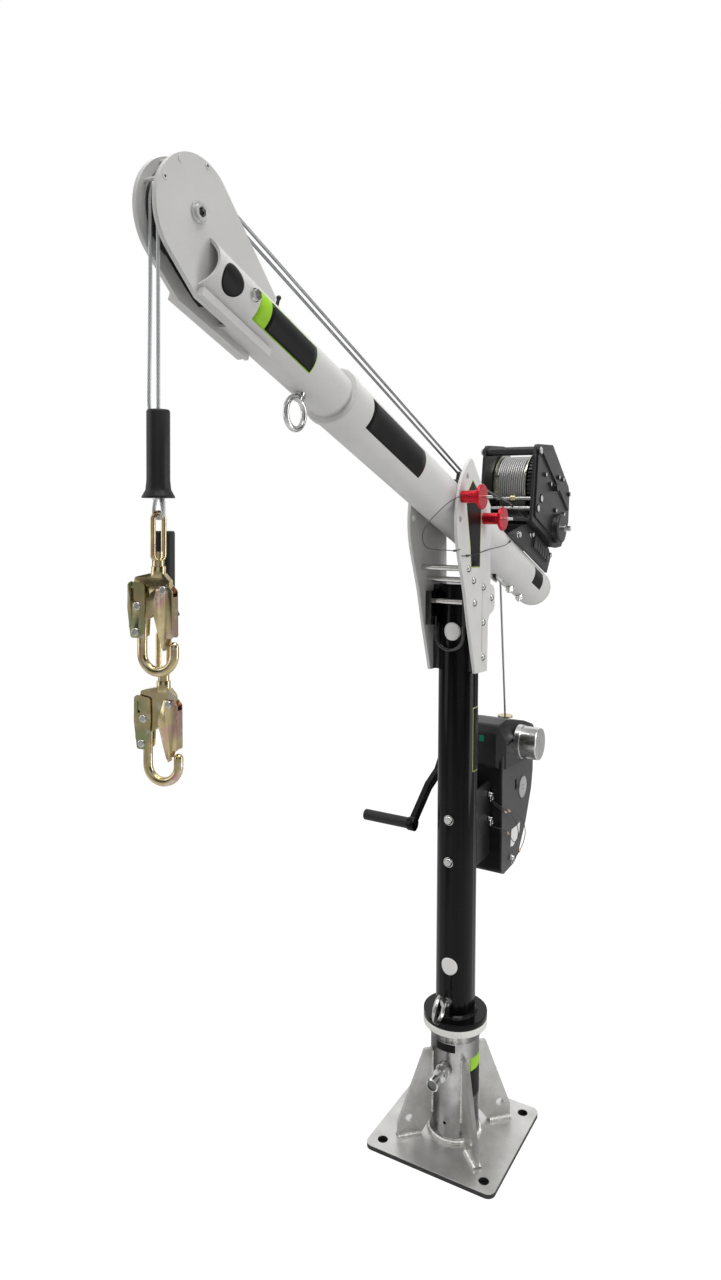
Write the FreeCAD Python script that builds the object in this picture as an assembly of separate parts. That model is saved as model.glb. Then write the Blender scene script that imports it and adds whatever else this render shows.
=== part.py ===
import FreeCAD, Part
import math
import os

V = FreeCAD.Vector
X, Y, Z = V(1, 0, 0), V(0, 1, 0), V(0, 0, 1)

# Clearances
RUN_FIT = 0.06          # radial clearance of a turning or sliding fit
FREE_GAP = 0.4          # gap between faces that pass each other
SIDE_GAP = 0.5          # side gap of a wheel or tube between plates
TOUCH = 0.3             # gap of a wire lying against a face

# Base
PLATE_T = 12.0
PLATE_CORNER_R = 20.0
ANCHOR_PITCH = 275.0
ANCHOR_EDGE = 35.0
ANCHOR_HOLE_D = 26.0
SLEEVE_OD = 125.0
SLEEVE_H = 281.0
SLEEVE_COLLAR_H = 28.0
SLEEVE_COLLAR_IN = 3.0
GUSSET_T = 10.0
GUSSET_H = 218.0
GUSSET_REACH = 93.0
GUSSET_TOP_W = 22.0
GUSSET_TOE_H = 36.0
GUSSET_FOOT_W = 60.0
GUSSET_HOLE_D = 20.0
GUSSET_HOLE_UP = 46.0
WELD_LEG = 7.0
WELD_TOE = 0.6
WEEP_HOLE_D = 8.0
WEEP_HOLE_UP = 46.0
LINER_WALL = 4.0
LINER_DEPTH = 190.0
FLANGE_R = 82.0
LINER_FLANGE_T = 17.0

# Spring plunger in the sleeve
PLUNGER_UP = 187.0
PLUNGER_R = 8.0
BOSS_R = 19.0
BOSS_L = 14.0
KNURL_R = 17.0
KNURL_L = 20.0
KNURL_COUNT = 24
NECK_L = 20.0
KNOB_R = 15.5
KNOB_L = 24.0

# Mast
MAST_OD = 101.6
MAST_WALL = 6.0
MAST_FOOT_GAP = 13.0
MAST_TOP_Z = 1433.0
MAST_CAP_T = 4.0
MAST_FLANGE_T = 16.0
MAST_BOLT_R = 6.0
MAST_BOLT_HEAD_R = 11.0
MAST_WASHER_R = 13.0
EYE_RISE = 45.0
EYE_RING_R = 29.0
EYE_WIRE_R = 5.6
EYE_SHANK_R = 8.0
EYE_NUT_AF = 24.0

# Pivot, boom and tilt
PIVOT_RISE = 165.0
BOOM_TILT = 21.1
TILT_DOWN = 21.1
TILT_UP = 22.9
BOOM_OD = 114.3
BOOM_WALL = 5.0
BOOM_REAR = 615.0
BOOM_SHOULDER = 664.0
BOOM_CAP_T = 6.0
UPPER_OD = 95.3
UPPER_WALL = 5.0
UPPER_LAP = 110.0
COLLAR_W = 13.0
COLLAR_RISE = 3.0

# Mast head plates, quick pins and tie-off hoop
HEAD_PLATE_T = 8.0
LOCK_RADIUS = 147.0
PIVOT_PIN_R = 10.0
LOCK_PIN_R = 8.0
PIN_STEM_R = 14.5
PIN_STEM_L = 46.0
PIN_STEM_FLARE = 2.0
PIN_DISC_R = 30.0
PIN_DISC_T = 8.0
PIN_STUD_R = 3.4
PIN_STUD_L = 22.0
SPACER_R = 7.2
HEAD_BOLT_R = 5.0
HEAD_BOLT_PITCH = 89.0
HEAD_BOLT_HEAD_R = 8.5
HEAD_BOLT_HEAD_H = 5.5
SHIM_W = 60.0
SHIM_H = 216.0
HOOP_WIRE_R = 4.6
HOOP_HALF_W = 38.0
HOOP_STANDOFF = 7.2
HOOP_LEG = 46.0
LUG_W = 40.0
LUG_H = 86.0
LUG_DROP = 17.0

# Boom head
SHEAVE_A = 1136.0
SHEAVE_N = 60.0
SHEAVE_W = 14.0
SHEAVE_R = 70.0
SHEAVE_LIP = 2.4
AXLE_R = 10.0
CHEEK_T = 8.0
CHEEK_MARGIN = 19.0
CHEEK_DROP = 4.0
CHEEK_TAIL = 230.0
CHIN_BACK = 44.0
CHIN_DROP = 118.0
KEEPER_R = 3.2
KEEPER_GAP = 2.6
KEEPER_HEAD_H = 0.9
KEEPER_ANGLES = (2.0, 38.0, 84.0)
AXLE_HEAD_L = 5.0
AXLE_SOCKET = 15.0
TUBE_END_BACK = 35.0
MOUTH_DEPTH = 10.0

# Ropes and wires
ROPE_D = 6.0
WIRE_R = 1.1
ROPE_BEND = 40.0
GUIDE_A = -6.0
GUIDE_RISE = 50.0
GUIDE_HALF_W = 24.0
GUIDE_PIN_R = 6.0

# Pulley in the boom for the retrieval rope
PULLEY_A = -326.0
PULLEY_N = -43.0
PULLEY_R = 20.0
PULLEY_W = 12.0
PULLEY_LIP = 1.6
PULLEY_AXLE_R = 5.0
PULLEY_LUG_T = 5.0

# Winch
SADDLE_TOP = 110.0
SADDLE_HALF_W = 58.0
SADDLE_WALL = 8.0
SADDLE_FOOT_N = 34.0
SADDLE_PAD_T = 6.0
SADDLE_BOLTS = ((171.0, 21.0), (66.0, 60.0), (-112.0, 56.0))
WINCH_HALF_W = 72.0
WINCH_PLATE_T = 8.0
WINCH_BASE_T = 8.0
WINCH_CORNER_R = 16.0
WINCH_COVER_T = 4.0
DRUM_A = -444.0
DRUM_RISE = 158.0
DRUM_CORE_R = 88.8
DRUM_FLANGE_R = 104.0
DRUM_FLANGE_T = 4.0
DRUM_END_GAP = 3.0
DRUM_SHAFT_R = 12.0
WIND_PITCH = 6.7
GEAR_R = 100.0
GEAR_TEETH = 50
GEAR_TOOTH_H = 6.0
GEAR_W = 20.0
GEAR_END_GAP = 18.0
GEAR_STANDOFF = 4.0
PINION_R = 28.0
PINION_TEETH = 14
DRIVE_ANGLE = 233.2
DRIVE_R = 10.0
DRIVE_HEX_AF = 14.0
DRIVE_HEX_L = 16.0
BRAKE_R = 45.0
BRAKE_T = 22.0
BAR_R = 12.5
ROD_R = 6.0

# Retrieval block behind the mast
SRL_GAP = 89.2
SRL_LOW_Z = 634.0
SRL_CASE_H = 286.0
SRL_HALF_W = 70.0
SRL_COVER_T = 4.0
SRL_CORNER_R = 20.0
SRL_CAP_PROUD = 5.0
SRL_BOLT_UPS = (92.0, 200.0)
SRL_ROPE_BACK = 222.0
SRL_HUB_R = 30.0
SRL_HUB_T = 5.0
CLUTCH_BACK = 110.0
CLUTCH_RISE = 57.0
CLUTCH_R = 44.0
CLUTCH_L = 62.0
GLAND_R = 22.0
GLAND_RISE = 38.0
BRACKET_HALF_W = 36.0
BRACKET_T = 6.0
BRACKET_SHOE = 14.0
BRACKET_FOOT = 56.0
BRACKET_HEAD = 30.0
BRACKET_PIN_DROPS = [62.0, 128.0]
SIDE_PIN_BACK = 62.0
SIDE_PIN_UP = 34.0
CRANK_SHAFT_R = 12.0
CRANK_OUT = 55.0
CRANK_ARM_W = 26.0
CRANK_ARM_T = 14.0
CRANK_BENDS = [(85.0, -96.0), (146.0, -120.0)]
CRANK_END = (246.0, -194.0)
CRANK_BOSS_R = 18.0
SPINDLE_R = 6.0
GRIP_R = 14.5
GRIP_L = 136.0

# Rope ends: bumpers, links and snap hooks
HANG_NEAR = 300.0
HANG_FAR = 477.0
FAR_SHIFT = (-40.0, -12.1)
FAR_KINK = 120.0
FAR_BOW = (-18.2, -20.5)
BUMPER_R = 17.0
BUMPER_FLARE_R = 24.0
BUMPER_L = 128.0
EYE_LOOP_R = 11.0
LINK_WIRE_R = 4.0
LINK_HALF_W = 9.0
LINK_L = 77.0
LINK_TURN = 61.0
STUD_R = 5.0
HOOK_H = 162.0
HOOK_SECTION_R = 7.2
HOOK_BODY_T = 12.0
HOOK_FACE = 14.0
RIVET_R = 3.0
GATE_T = 2.2

# Values that follow from those above
PLATE_SIDE = ANCHOR_PITCH + 2 * ANCHOR_EDGE
MAST_R = MAST_OD / 2
SLEEVE_R = SLEEVE_OD / 2
SLEEVE_TOP_Z = PLATE_T + SLEEVE_H
LINER_BORE_R = MAST_R + RUN_FIT
SLEEVE_BORE_R = LINER_BORE_R + LINER_WALL
LINER_TOP_Z = SLEEVE_TOP_Z + LINER_FLANGE_T
FLANGE_TOP_Z = LINER_TOP_Z + MAST_FLANGE_T
PLUNGER_Z = PLATE_T + PLUNGER_UP
EYE_Z = FLANGE_TOP_Z + EYE_RISE
PIVOT_Z = MAST_TOP_Z + PIVOT_RISE
PIVOT = V(0, 0, PIVOT_Z)
COS_T = math.cos(math.radians(BOOM_TILT))
SIN_T = math.sin(math.radians(BOOM_TILT))
BOOM_R = BOOM_OD / 2
UPPER_R = UPPER_OD / 2
UPPER_END = SHEAVE_A - TUBE_END_BACK
PLATE_IN = BOOM_R + SIDE_GAP
PLATE_OUT = PLATE_IN + HEAD_PLATE_T
HOOP_X = MAST_R + HOOP_STANDOFF
SHEAVE_Y = SHEAVE_W / 2 + SIDE_GAP
CHEEK_IN = SHEAVE_W + 2 * SIDE_GAP
CHEEK_OUT = CHEEK_IN + CHEEK_T
CHEEK_R = SHEAVE_R + CHEEK_MARGIN
CHEEK_N = SHEAVE_N - CHEEK_DROP
TAIL_A = SHEAVE_A - CHEEK_TAIL
CHIN_A = SHEAVE_A - CHIN_BACK
CHIN_N = SHEAVE_N - CHIN_DROP
ROPE_R = ROPE_D / 2
GUIDE_N = BOOM_R + GUIDE_RISE
DRUM_N = SADDLE_TOP + DRUM_RISE
WIND_R = DRUM_CORE_R + FREE_GAP + ROPE_R
WINCH_OUT = WINCH_HALF_W + WINCH_PLATE_T
GEAR_Y = WINCH_HALF_W - GEAR_END_GAP - GEAR_W
DRUM_Y0 = DRUM_END_GAP - WINCH_HALF_W
DRUM_Y1 = GEAR_Y - GEAR_STANDOFF
SHAFT_GAP = GEAR_R + PINION_R + FREE_GAP
DRIVE_A = DRUM_A + SHAFT_GAP * math.cos(math.radians(DRIVE_ANGLE))
DRIVE_N = DRUM_N + SHAFT_GAP * math.sin(math.radians(DRIVE_ANGLE))
SRL_X = -MAST_R - SRL_GAP
SRL_MID_Z = SRL_LOW_Z + SRL_CASE_H
MAST_BOLT_ZS = [SRL_LOW_Z + up for up in SRL_BOLT_UPS]
CLUTCH_X = SRL_X - CLUTCH_BACK
CLUTCH_Z = SRL_MID_Z + CLUTCH_RISE
CAP_HALF_W = SRL_HALF_W + SRL_CAP_PROUD
CRANK_Y = -SRL_HALF_W - CRANK_OUT
GLAND = V(SRL_X - SRL_ROPE_BACK, -SHEAVE_Y, CLUTCH_Z + GLAND_RISE)
U = V(-math.sin(math.radians(HOOK_FACE)), math.cos(math.radians(HOOK_FACE)), 0)
W = V(math.cos(math.radians(HOOK_FACE)), math.sin(math.radians(HOOK_FACE)), 0)

os.makedirs("parts", exist_ok=True)
NODES = {}


def keep(name, shape):
    NODES[name] = shape


def cyl(p, axis, r, h):
    return Part.makeCylinder(r, h, p, axis)


def tube(p, axis, r, bore, h):
    return cyl(p, axis, r, h).cut(cyl(p, axis, bore, h))


def box(x0, x1, y0, y1, z0, z1):
    return Part.makeBox(x1 - x0, y1 - y0, z1 - z0, V(x0, y0, z0))


def circles(shape):
    return [e for e in shape.Edges if e.Curve.TypeId == "Part::GeomCircle"]


def corner(a, b, c, radius, share):
    """Start, middle and end of the arc that rounds the corner b between a and c."""
    u, w = a - b, c - b
    room = share * min(u.Length, w.Length)
    u.normalize()
    w.normalize()
    half = u.getAngle(w) / 2
    reach = min(radius / math.tan(half), room)
    rad = reach * math.tan(half)
    mid = u + w
    mid.normalize()
    return b + u * reach, b + mid * (rad / math.sin(half) - rad), b + w * reach


def rounded_face(pts, radius):
    """Flat face of a polygon with its corners rounded."""
    n = len(pts)
    arcs = [corner(pts[k - 1], pts[k], pts[(k + 1) % n], radius, 0.45) for k in range(n)]
    edges = []
    for k in range(n):
        edges.append(Part.Arc(*arcs[k]).toShape())
        edges.append(Part.makeLine(arcs[k][2], arcs[(k + 1) % n][0]))
    return Part.Face(Part.Wire(edges))


def prism(points, y0, y1, radius=0.0):
    """Plate along Y from an outline in X and Z."""
    pts = [V(a, y0, b) for a, b in points]
    face = rounded_face(pts, radius) if radius else Part.Face(Part.makePolygon(pts + pts[:1]))
    return face.extrude(V(0, y1 - y0, 0))


def fused(shapes):
    out = shapes[0]
    if len(shapes) > 1:
        out = out.fuse(shapes[1:]).removeSplitter()
    return out


def hexagon(p, axis, across, h):
    r = across / math.sqrt(3)
    u = axis.cross(Z) if abs(axis.dot(Z)) < 0.9 else axis.cross(X)
    u.normalize()
    w = axis.cross(u)
    ring = []
    for k in range(7):
        t = math.radians(60 * k)
        ring.append(p + u * (r * math.cos(t)) + w * (r * math.sin(t)))
    return Part.Face(Part.makePolygon(ring)).extrude(axis * h)


def dome_head(p, axis, r, h):
    body = cyl(p, axis, r, h)
    top = max(circles(body), key=lambda e: (e.CenterOfMass - p).dot(axis))
    return body.makeFillet(h * 0.7, [top])


def sweep(edges, r):
    """Round tube along a chain of edges given in order."""
    wire = Part.Wire(edges)
    start = wire.OrderedVertexes[0].Point
    first = wire.OrderedEdges[0]
    at = first.FirstParameter
    if (first.valueAt(at) - start).Length > 1e-6:
        at = first.LastParameter
    profile = Part.Wire([Part.makeCircle(r, start, first.tangentAt(at))])
    return wire.makePipeShell([profile], True, False)


def path_edges(points, bend=None):
    """Straight runs joined by arcs: of radius bend, or as large as the runs allow."""
    edges = []
    last = points[0]
    for a, b, c in zip(points, points[1:], points[2:]):
        s, m, e = corner(a, b, c, bend or 1e6, 0.49 if bend else 0.45)
        edges.append(Part.makeLine(last, s))
        edges.append(Part.Arc(s, m, e).toShape())
        last = e
    edges.append(Part.makeLine(last, points[-1]))
    return edges


def cord(name, edges, r):
    """Rope or wire along its edges, with its radii and volume printed."""
    body = sweep(edges, r)
    length = sum(e.Length for e in edges)
    radii = [round(e.Curve.Radius, 1) for e in edges if e.Curve.TypeId == "Part::GeomCircle"]
    ratio = round(body.Volume / (math.pi * r * r * length), 4)
    print(name, "length", round(length, 1), "volume ratio", ratio, "radii", radii)
    return body


def tangent_spot(px, pn, cx, cn, r, side):
    """Point where a line from (px, pn) touches the circle round (cx, cn)."""
    d = math.hypot(cx - px, cn - pn)
    ang = math.atan2(cn - pn, cx - px) + side * math.asin(r / d)
    reach = math.sqrt(d * d - r * r)
    return px + reach * math.cos(ang), pn + reach * math.sin(ang)


def local(a, n, y):
    """Point of the boom frame: along the boom, above its axis, sideways."""
    return PIVOT + V(a * COS_T - n * SIN_T, y, a * SIN_T + n * COS_T)


def on_boom(shape):
    out = shape.copy()
    out.rotate(V(0, 0, 0), Y, -BOOM_TILT)
    out.translate(PIVOT)
    return out


# Base plate with rounded corners and four anchor holes
half = PLATE_SIDE / 2
plate = box(-half, half, -half, half, 0, PLATE_T)
upright = [e for e in plate.Edges if abs(e.tangentAt(e.FirstParameter).z) > 0.9]
plate = plate.makeFillet(PLATE_CORNER_R, upright)
for sx in (-1, 1):
    for sy in (-1, 1):
        at = V(sx * ANCHOR_PITCH / 2, sy * ANCHOR_PITCH / 2, 0)
        plate = plate.cut(cyl(at, Z, ANCHOR_HOLE_D / 2, PLATE_T))
keep("base_plate", plate)

# Sleeve tube with a tapered collar, the knurled boss of the plunger and a weep hole
boss_end = SLEEVE_R + BOSS_L
knurl_end = boss_end + KNURL_L
sleeve = tube(V(0, 0, PLATE_T), Z, SLEEVE_R, SLEEVE_BORE_R, SLEEVE_H)
collar_z = SLEEVE_TOP_Z - SLEEVE_COLLAR_H
taper = Part.makeCone(SLEEVE_R, FLANGE_R - SLEEVE_COLLAR_IN, SLEEVE_COLLAR_H, V(0, 0, collar_z), Z)
sleeve = sleeve.fuse(taper.cut(cyl(V(0, 0, collar_z), Z, SLEEVE_BORE_R + 1.0, SLEEVE_COLLAR_H)))
boss = cyl(V(0, 0, PLUNGER_Z), X, BOSS_R, boss_end)
boss = boss.fuse(cyl(V(0, 0, PLUNGER_Z), X, KNURL_R, knurl_end))
boss = boss.cut(cyl(V(0, 0, 0), Z, SLEEVE_R - 1.0, SLEEVE_TOP_Z))
for k in range(KNURL_COUNT):
    t = 2 * math.pi * k / KNURL_COUNT
    at = V(boss_end + KNURL_L * 0.2, KNURL_R * math.cos(t), PLUNGER_Z + KNURL_R * math.sin(t))
    boss = boss.cut(cyl(at, X, 1.0, KNURL_L * 0.6))
sleeve = sleeve.fuse(boss)
sleeve = sleeve.cut(cyl(V(0, 0, PLUNGER_Z), X, PLUNGER_R + RUN_FIT, knurl_end))
sleeve = sleeve.cut(cyl(V(0, 0, PLATE_T + WEEP_HOLE_UP), X, WEEP_HOLE_D / 2, SLEEVE_R + BOSS_L))
keep("base_sleeve", sleeve.removeSplitter())

# Four gussets on the diagonals with their weld beads, and the bead round the sleeve
toe = SLEEVE_R + GUSSET_REACH
foot = toe - GUSSET_FOOT_W
outline = [
    (SLEEVE_R, PLATE_T + GUSSET_H), (SLEEVE_R + GUSSET_TOP_W, PLATE_T + GUSSET_H),
    (toe, PLATE_T + GUSSET_TOE_H), (toe, PLATE_T), (foot, PLATE_T),
    (SLEEVE_R, PLATE_T + GUSSET_TOE_H + WELD_LEG),
]
gussets = []
for k in range(4):
    g = prism(outline, -GUSSET_T / 2, GUSSET_T / 2)
    at = V(toe - GUSSET_FOOT_W / 2, -GUSSET_T, PLATE_T + GUSSET_HOLE_UP)
    g = g.cut(cyl(at, Y, GUSSET_HOLE_D / 2, 2 * GUSSET_T))
    for sy in (-1, 1):
        side = sy * GUSSET_T / 2
        tri = [V(foot, side, PLATE_T), V(foot, side + sy * WELD_LEG, PLATE_T),
               V(foot, side, PLATE_T + WELD_LEG)]
        g = g.fuse(Part.Face(Part.makePolygon(tri + tri[:1])).extrude(V(GUSSET_FOOT_W, 0, 0)))
    g = g.cut(cyl(V(0, 0, 0), Z, SLEEVE_R, SLEEVE_TOP_Z))
    g.rotate(V(0, 0, 0), Z, 45 + 90 * k)
    gussets.append(g)
bead = Part.makeCone(SLEEVE_R + WELD_LEG, SLEEVE_R, WELD_LEG, V(0, 0, PLATE_T), Z)
gussets.append(bead.cut(cyl(V(0, 0, PLATE_T), Z, SLEEVE_R, WELD_LEG)))
keep("base_gussets", Part.makeCompound(gussets))

# Plain bearing liner with its flange on the sleeve
liner = tube(V(0, 0, SLEEVE_TOP_Z - LINER_DEPTH), Z, SLEEVE_BORE_R, LINER_BORE_R, LINER_DEPTH + LINER_FLANGE_T)
liner = liner.fuse(tube(V(0, 0, SLEEVE_TOP_Z), Z, FLANGE_R, LINER_BORE_R, LINER_FLANGE_T)).removeSplitter()
keep("base_liner", liner.cut(cyl(V(0, 0, PLUNGER_Z), X, PLUNGER_R + FREE_GAP, SLEEVE_R)))

# Spring plunger with its knob
tip_x = MAST_R + FREE_GAP
knob_x = knurl_end + NECK_L
pin = cyl(V(tip_x, 0, PLUNGER_Z), X, PLUNGER_R, knob_x - tip_x)
knob = cyl(V(knob_x, 0, PLUNGER_Z), X, KNOB_R, KNOB_L)
knob = knob.makeChamfer(2.0, circles(knob))
knob = knob.cut(cyl(V(knob_x + KNOB_L - 2.0, 0, PLUNGER_Z), X, KNOB_R * 0.68, 3.0))
keep("plunger", pin.fuse(knob).removeSplitter())

# Places of the screws that hold the mast head together
spacer_spots = [(97.0, MAST_TOP_Z + 44.0), (65.0, MAST_TOP_Z + 13.0), (HOOP_X, MAST_TOP_Z - 43.0)]
bolt_spots = [(0.0, MAST_TOP_Z - 8.0 - HEAD_BOLT_PITCH * k) for k in range(3)]
ear_spot = (-56.0, MAST_TOP_Z - 39.0)

# Mast tube with its flange, weld and top cap
bore_r = MAST_R - MAST_WALL
foot_z = PLATE_T + MAST_FOOT_GAP
mast = tube(V(0, 0, foot_z), Z, MAST_R, bore_r, MAST_TOP_Z - foot_z)
top = cyl(V(0, 0, MAST_TOP_Z - MAST_CAP_T), Z, bore_r, MAST_CAP_T)
mast = fused([mast, top])
weld = Part.makeCone(MAST_R + WELD_LEG, MAST_R + WELD_TOE, WELD_LEG, V(0, 0, FLANGE_TOP_Z), Z)
flange = fused([cyl(V(0, 0, LINER_TOP_Z), Z, FLANGE_R, MAST_FLANGE_T), weld])
flange = flange.cut(cyl(V(0, 0, LINER_TOP_Z), Z, MAST_R, MAST_FLANGE_T + WELD_LEG))
for bz in MAST_BOLT_ZS + [EYE_Z]:
    mast = mast.cut(cyl(V(-MAST_R - 5, 0, bz), X, MAST_BOLT_R, MAST_OD + 10))
for sx, sz in bolt_spots:
    mast = mast.cut(cyl(V(sx, -PLATE_OUT, sz), Y, HEAD_BOLT_R, 2 * PLATE_OUT))
keep("mast_tube", Part.makeCompound([mast, flange]))


def eye_bolt(face, axis, side):
    """Collar, neck and ring of an eye bolt standing on a face, the ring square to side."""
    neck = cyl(face - axis * 1.0, axis, EYE_SHANK_R, EYE_WIRE_R + 8.0)
    flat = cyl(face, axis, EYE_SHANK_R + 4.0, 5.0)
    ring = Part.makeTorus(EYE_RING_R, EYE_WIRE_R, face + axis * (EYE_RING_R + 9.0), side)
    return fused([neck, flat, ring])


# Through bolts of the retrieval block and the tie-off eye above the flange
mast_round = cyl(V(0, 0, 0), Z, MAST_R, MAST_TOP_Z)
fittings = []
for bz in MAST_BOLT_ZS:
    shank = cyl(V(-MAST_R - 3, 0, bz), X, MAST_BOLT_R, MAST_OD + 6)
    washer = cyl(V(MAST_R - 2, 0, bz), X, MAST_WASHER_R, 4.5).cut(mast_round)
    head = dome_head(V(MAST_R + 2.5, 0, bz), X, MAST_BOLT_HEAD_R, 6.0)
    fittings.append(fused([shank, washer, head]))
shank = cyl(V(-bore_r + 1, 0, EYE_Z), X, MAST_BOLT_R, MAST_R + bore_r + 2)
nut = hexagon(V(MAST_R - 1.5, 0, EYE_Z), X, EYE_NUT_AF, 13.5).cut(mast_round)
fittings.append(fused([shank, nut, eye_bolt(V(MAST_R + 12.0, 0, EYE_Z), X, Y)]))
keep("mast_fittings", Part.makeCompound(fittings))

# Mast head plates: a leaf outline set out from the pivot
leaf_front = [(46, -386), (68, -321), (92, -251), (114, -178), (137, -120), (156, -71), (166, -26), (166, 14),
              (158, 54), (142, 92), (120, 119), (98, 138)]
leaf_rear = [(84, 147), (72, 143), (36, 106), (-45, 34), (-48, -81), (-50, -168), (-70, -174), (-80, -186),
             (-80, -230), (-72, -240), (-46, -248), (-35, -262), (-32, -391)]


def head_plate(y0):
    curve = Part.BSplineCurve()
    curve.interpolate([V(a, y0, PIVOT_Z + b) for a, b in leaf_front])
    pts = [V(a, y0, PIVOT_Z + b) for a, b in [leaf_front[-1]] + leaf_rear + [leaf_front[0]]]
    edges = [curve.toShape()] + [Part.makeLine(p, q) for p, q in zip(pts, pts[1:])]
    leaf = Part.Face(Part.Wire(edges)).extrude(V(0, HEAD_PLATE_T, 0))
    leaf = leaf.cut(cyl(V(0, y0, PIVOT_Z), Y, PIVOT_PIN_R + RUN_FIT, HEAD_PLATE_T))
    for ang in (BOOM_TILT - TILT_DOWN, BOOM_TILT, BOOM_TILT + TILT_UP):
        t = math.radians(ang)
        at = V(LOCK_RADIUS * math.cos(t), y0, PIVOT_Z + LOCK_RADIUS * math.sin(t))
        leaf = leaf.cut(cyl(at, Y, LOCK_PIN_R + RUN_FIT, HEAD_PLATE_T))
    for sx, sz in spacer_spots + bolt_spots:
        leaf = leaf.cut(cyl(V(sx, y0, sz), Y, HEAD_BOLT_R, HEAD_PLATE_T))
    return leaf


keep("head_plate_near", head_plate(PLATE_IN))
keep("head_plate_far", head_plate(-PLATE_OUT))

# Spacer rods and screws of the mast head
rods = []
for sx, sz in spacer_spots:
    rod = cyl(V(sx, -PLATE_IN, sz), Y, SPACER_R, 2 * PLATE_IN)
    rod = rod.fuse(cyl(V(sx, -PLATE_OUT, sz), Y, HEAD_BOLT_R, 2 * PLATE_OUT))
    heads = [dome_head(V(sx, s * PLATE_OUT, sz), Y * s, HEAD_BOLT_HEAD_R, HEAD_BOLT_HEAD_H) for s in (-1, 1)]
    rods.append(fused([rod] + heads))
for sx, sz in bolt_spots:
    for sy in (-1, 1):
        screw = cyl(V(sx, sy * bore_r, sz), Y * sy, HEAD_BOLT_R, PLATE_OUT - bore_r)
        head = dome_head(V(sx, sy * PLATE_OUT, sz), Y * sy, HEAD_BOLT_HEAD_R, HEAD_BOLT_HEAD_H)
        rods.append(fused([screw, head]))
for sy in (-1, 1):
    at = V(ear_spot[0], sy * PLATE_OUT, ear_spot[1])
    rods.append(dome_head(at, Y * sy, HEAD_BOLT_HEAD_R, HEAD_BOLT_HEAD_H))
keep("head_spacers", Part.makeCompound(rods))

# Shims between the mast and its head plates, lugs and the tie-off hoop
hoop_top = MAST_TOP_Z - LUG_DROP - LUG_H + 22.0
leg_z = hoop_top - HOOP_LEG
bow = Part.Arc(V(HOOP_X, -HOOP_HALF_W, leg_z), V(HOOP_X, 0, leg_z - HOOP_HALF_W), V(HOOP_X, HOOP_HALF_W, leg_z))
hoop = sweep([
    Part.makeLine(V(HOOP_X, -HOOP_HALF_W, hoop_top), V(HOOP_X, -HOOP_HALF_W, leg_z)),
    bow.toShape(),
    Part.makeLine(V(HOOP_X, HOOP_HALF_W, leg_z), V(HOOP_X, HOOP_HALF_W, hoop_top)),
], HOOP_WIRE_R)
shims = []
ties = [hoop]
for sy in (-1, 1):
    y0, y1 = sorted((sy * (MAST_R - 14.0), sy * PLATE_IN))
    shim = box(-SHIM_W / 2, SHIM_W / 2, y0, y1, MAST_TOP_Z - 4.0 - SHIM_H, MAST_TOP_Z - 4.0).cut(mast_round)
    for sx, sz in bolt_spots:
        shim = shim.cut(cyl(V(sx, -PLATE_OUT, sz), Y, HEAD_BOLT_R, 2 * PLATE_OUT))
    shims.append(shim)
    y0, y1 = sorted((sy * (HOOP_HALF_W + HOOP_WIRE_R * 0.8), sy * PLATE_IN))
    low = MAST_TOP_Z - LUG_DROP - LUG_H
    lug = box(HOOP_X - LUG_W / 2, HOOP_X + LUG_W / 2, y0, y1, low, low + LUG_H)
    lug = lug.cut(cyl(V(0, 0, 0), Z, MAST_R + 1.0, MAST_TOP_Z + 10))
    lug = lug.cut(cyl(V(spacer_spots[2][0], -PLATE_OUT, spacer_spots[2][1]), Y, SPACER_R, 2 * PLATE_OUT))
    ties.append(lug)
keep("tie_off_hoop", Part.makeCompound([fused(ties)] + shims))


def quick_pin(at_x, at_z, shank_r, y_tip, flare):
    """Quick pin with a flanged handle standing on the near plate."""
    disc_y = PLATE_OUT + PIN_STEM_L
    shank = cyl(V(at_x, y_tip, at_z), Y, shank_r, PLATE_OUT - y_tip)
    if flare:
        stem = Part.makeCone(PIN_STEM_R, PIN_STEM_R + flare, PIN_STEM_L, V(at_x, PLATE_OUT, at_z), Y)
    else:
        stem = cyl(V(at_x, PLATE_OUT, at_z), Y, PIN_STEM_R, PIN_STEM_L)
    disc = cyl(V(at_x, disc_y, at_z), Y, PIN_DISC_R, PIN_DISC_T)
    disc = disc.makeFillet(PIN_DISC_T * 0.3, circles(disc))
    stud = cyl(V(at_x, disc_y, at_z), Y, PIN_STUD_R, PIN_DISC_T + PIN_STUD_L)
    return fused([shank, stem, disc, stud])


lock_x, lock_z = LOCK_RADIUS * COS_T, PIVOT_Z + LOCK_RADIUS * SIN_T
keep("lock_pin", quick_pin(lock_x, lock_z, LOCK_PIN_R, PLATE_IN + TOUCH, PIN_STEM_FLARE))
keep("pivot_pin", quick_pin(0.0, PIVOT_Z, PIVOT_PIN_R, -PLATE_OUT - 6.0, 0.0))

# Routes of the two ropes in the boom frame
rod_spots = [(DRUM_A + 98.0, DRUM_N - 75.0), (DRUM_A + 115.0, DRUM_N - 112.0)]
bar_spot = (DRUM_A + 166.0, DRUM_N + 46.0)
lay_r = WIND_R + ROPE_D + FREE_GAP
over_rod = (rod_spots[1][0], rod_spots[1][1] + ROD_R + ROPE_R + 2 * FREE_GAP)
drum_leave = tangent_spot(over_rod[0], over_rod[1], DRUM_A, DRUM_N, lay_r, 1)
dip = (GUIDE_A, GUIDE_N)
dive = (GUIDE_A - 8.0, GUIDE_N)
pulley_in = tangent_spot(dive[0], dive[1], PULLEY_A, PULLEY_N, PULLEY_R, -1)
pulley_c = local(PULLEY_A, PULLEY_N, -SHEAVE_Y)
drop = tangent_spot(GLAND.x, GLAND.z, pulley_c.x, pulley_c.z, PULLEY_R, 1)
drop_top = V(drop[0], -SHEAVE_Y, drop[1])
slope = (dive[1] - pulley_in[1]) / (dive[0] - pulley_in[0])
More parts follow.
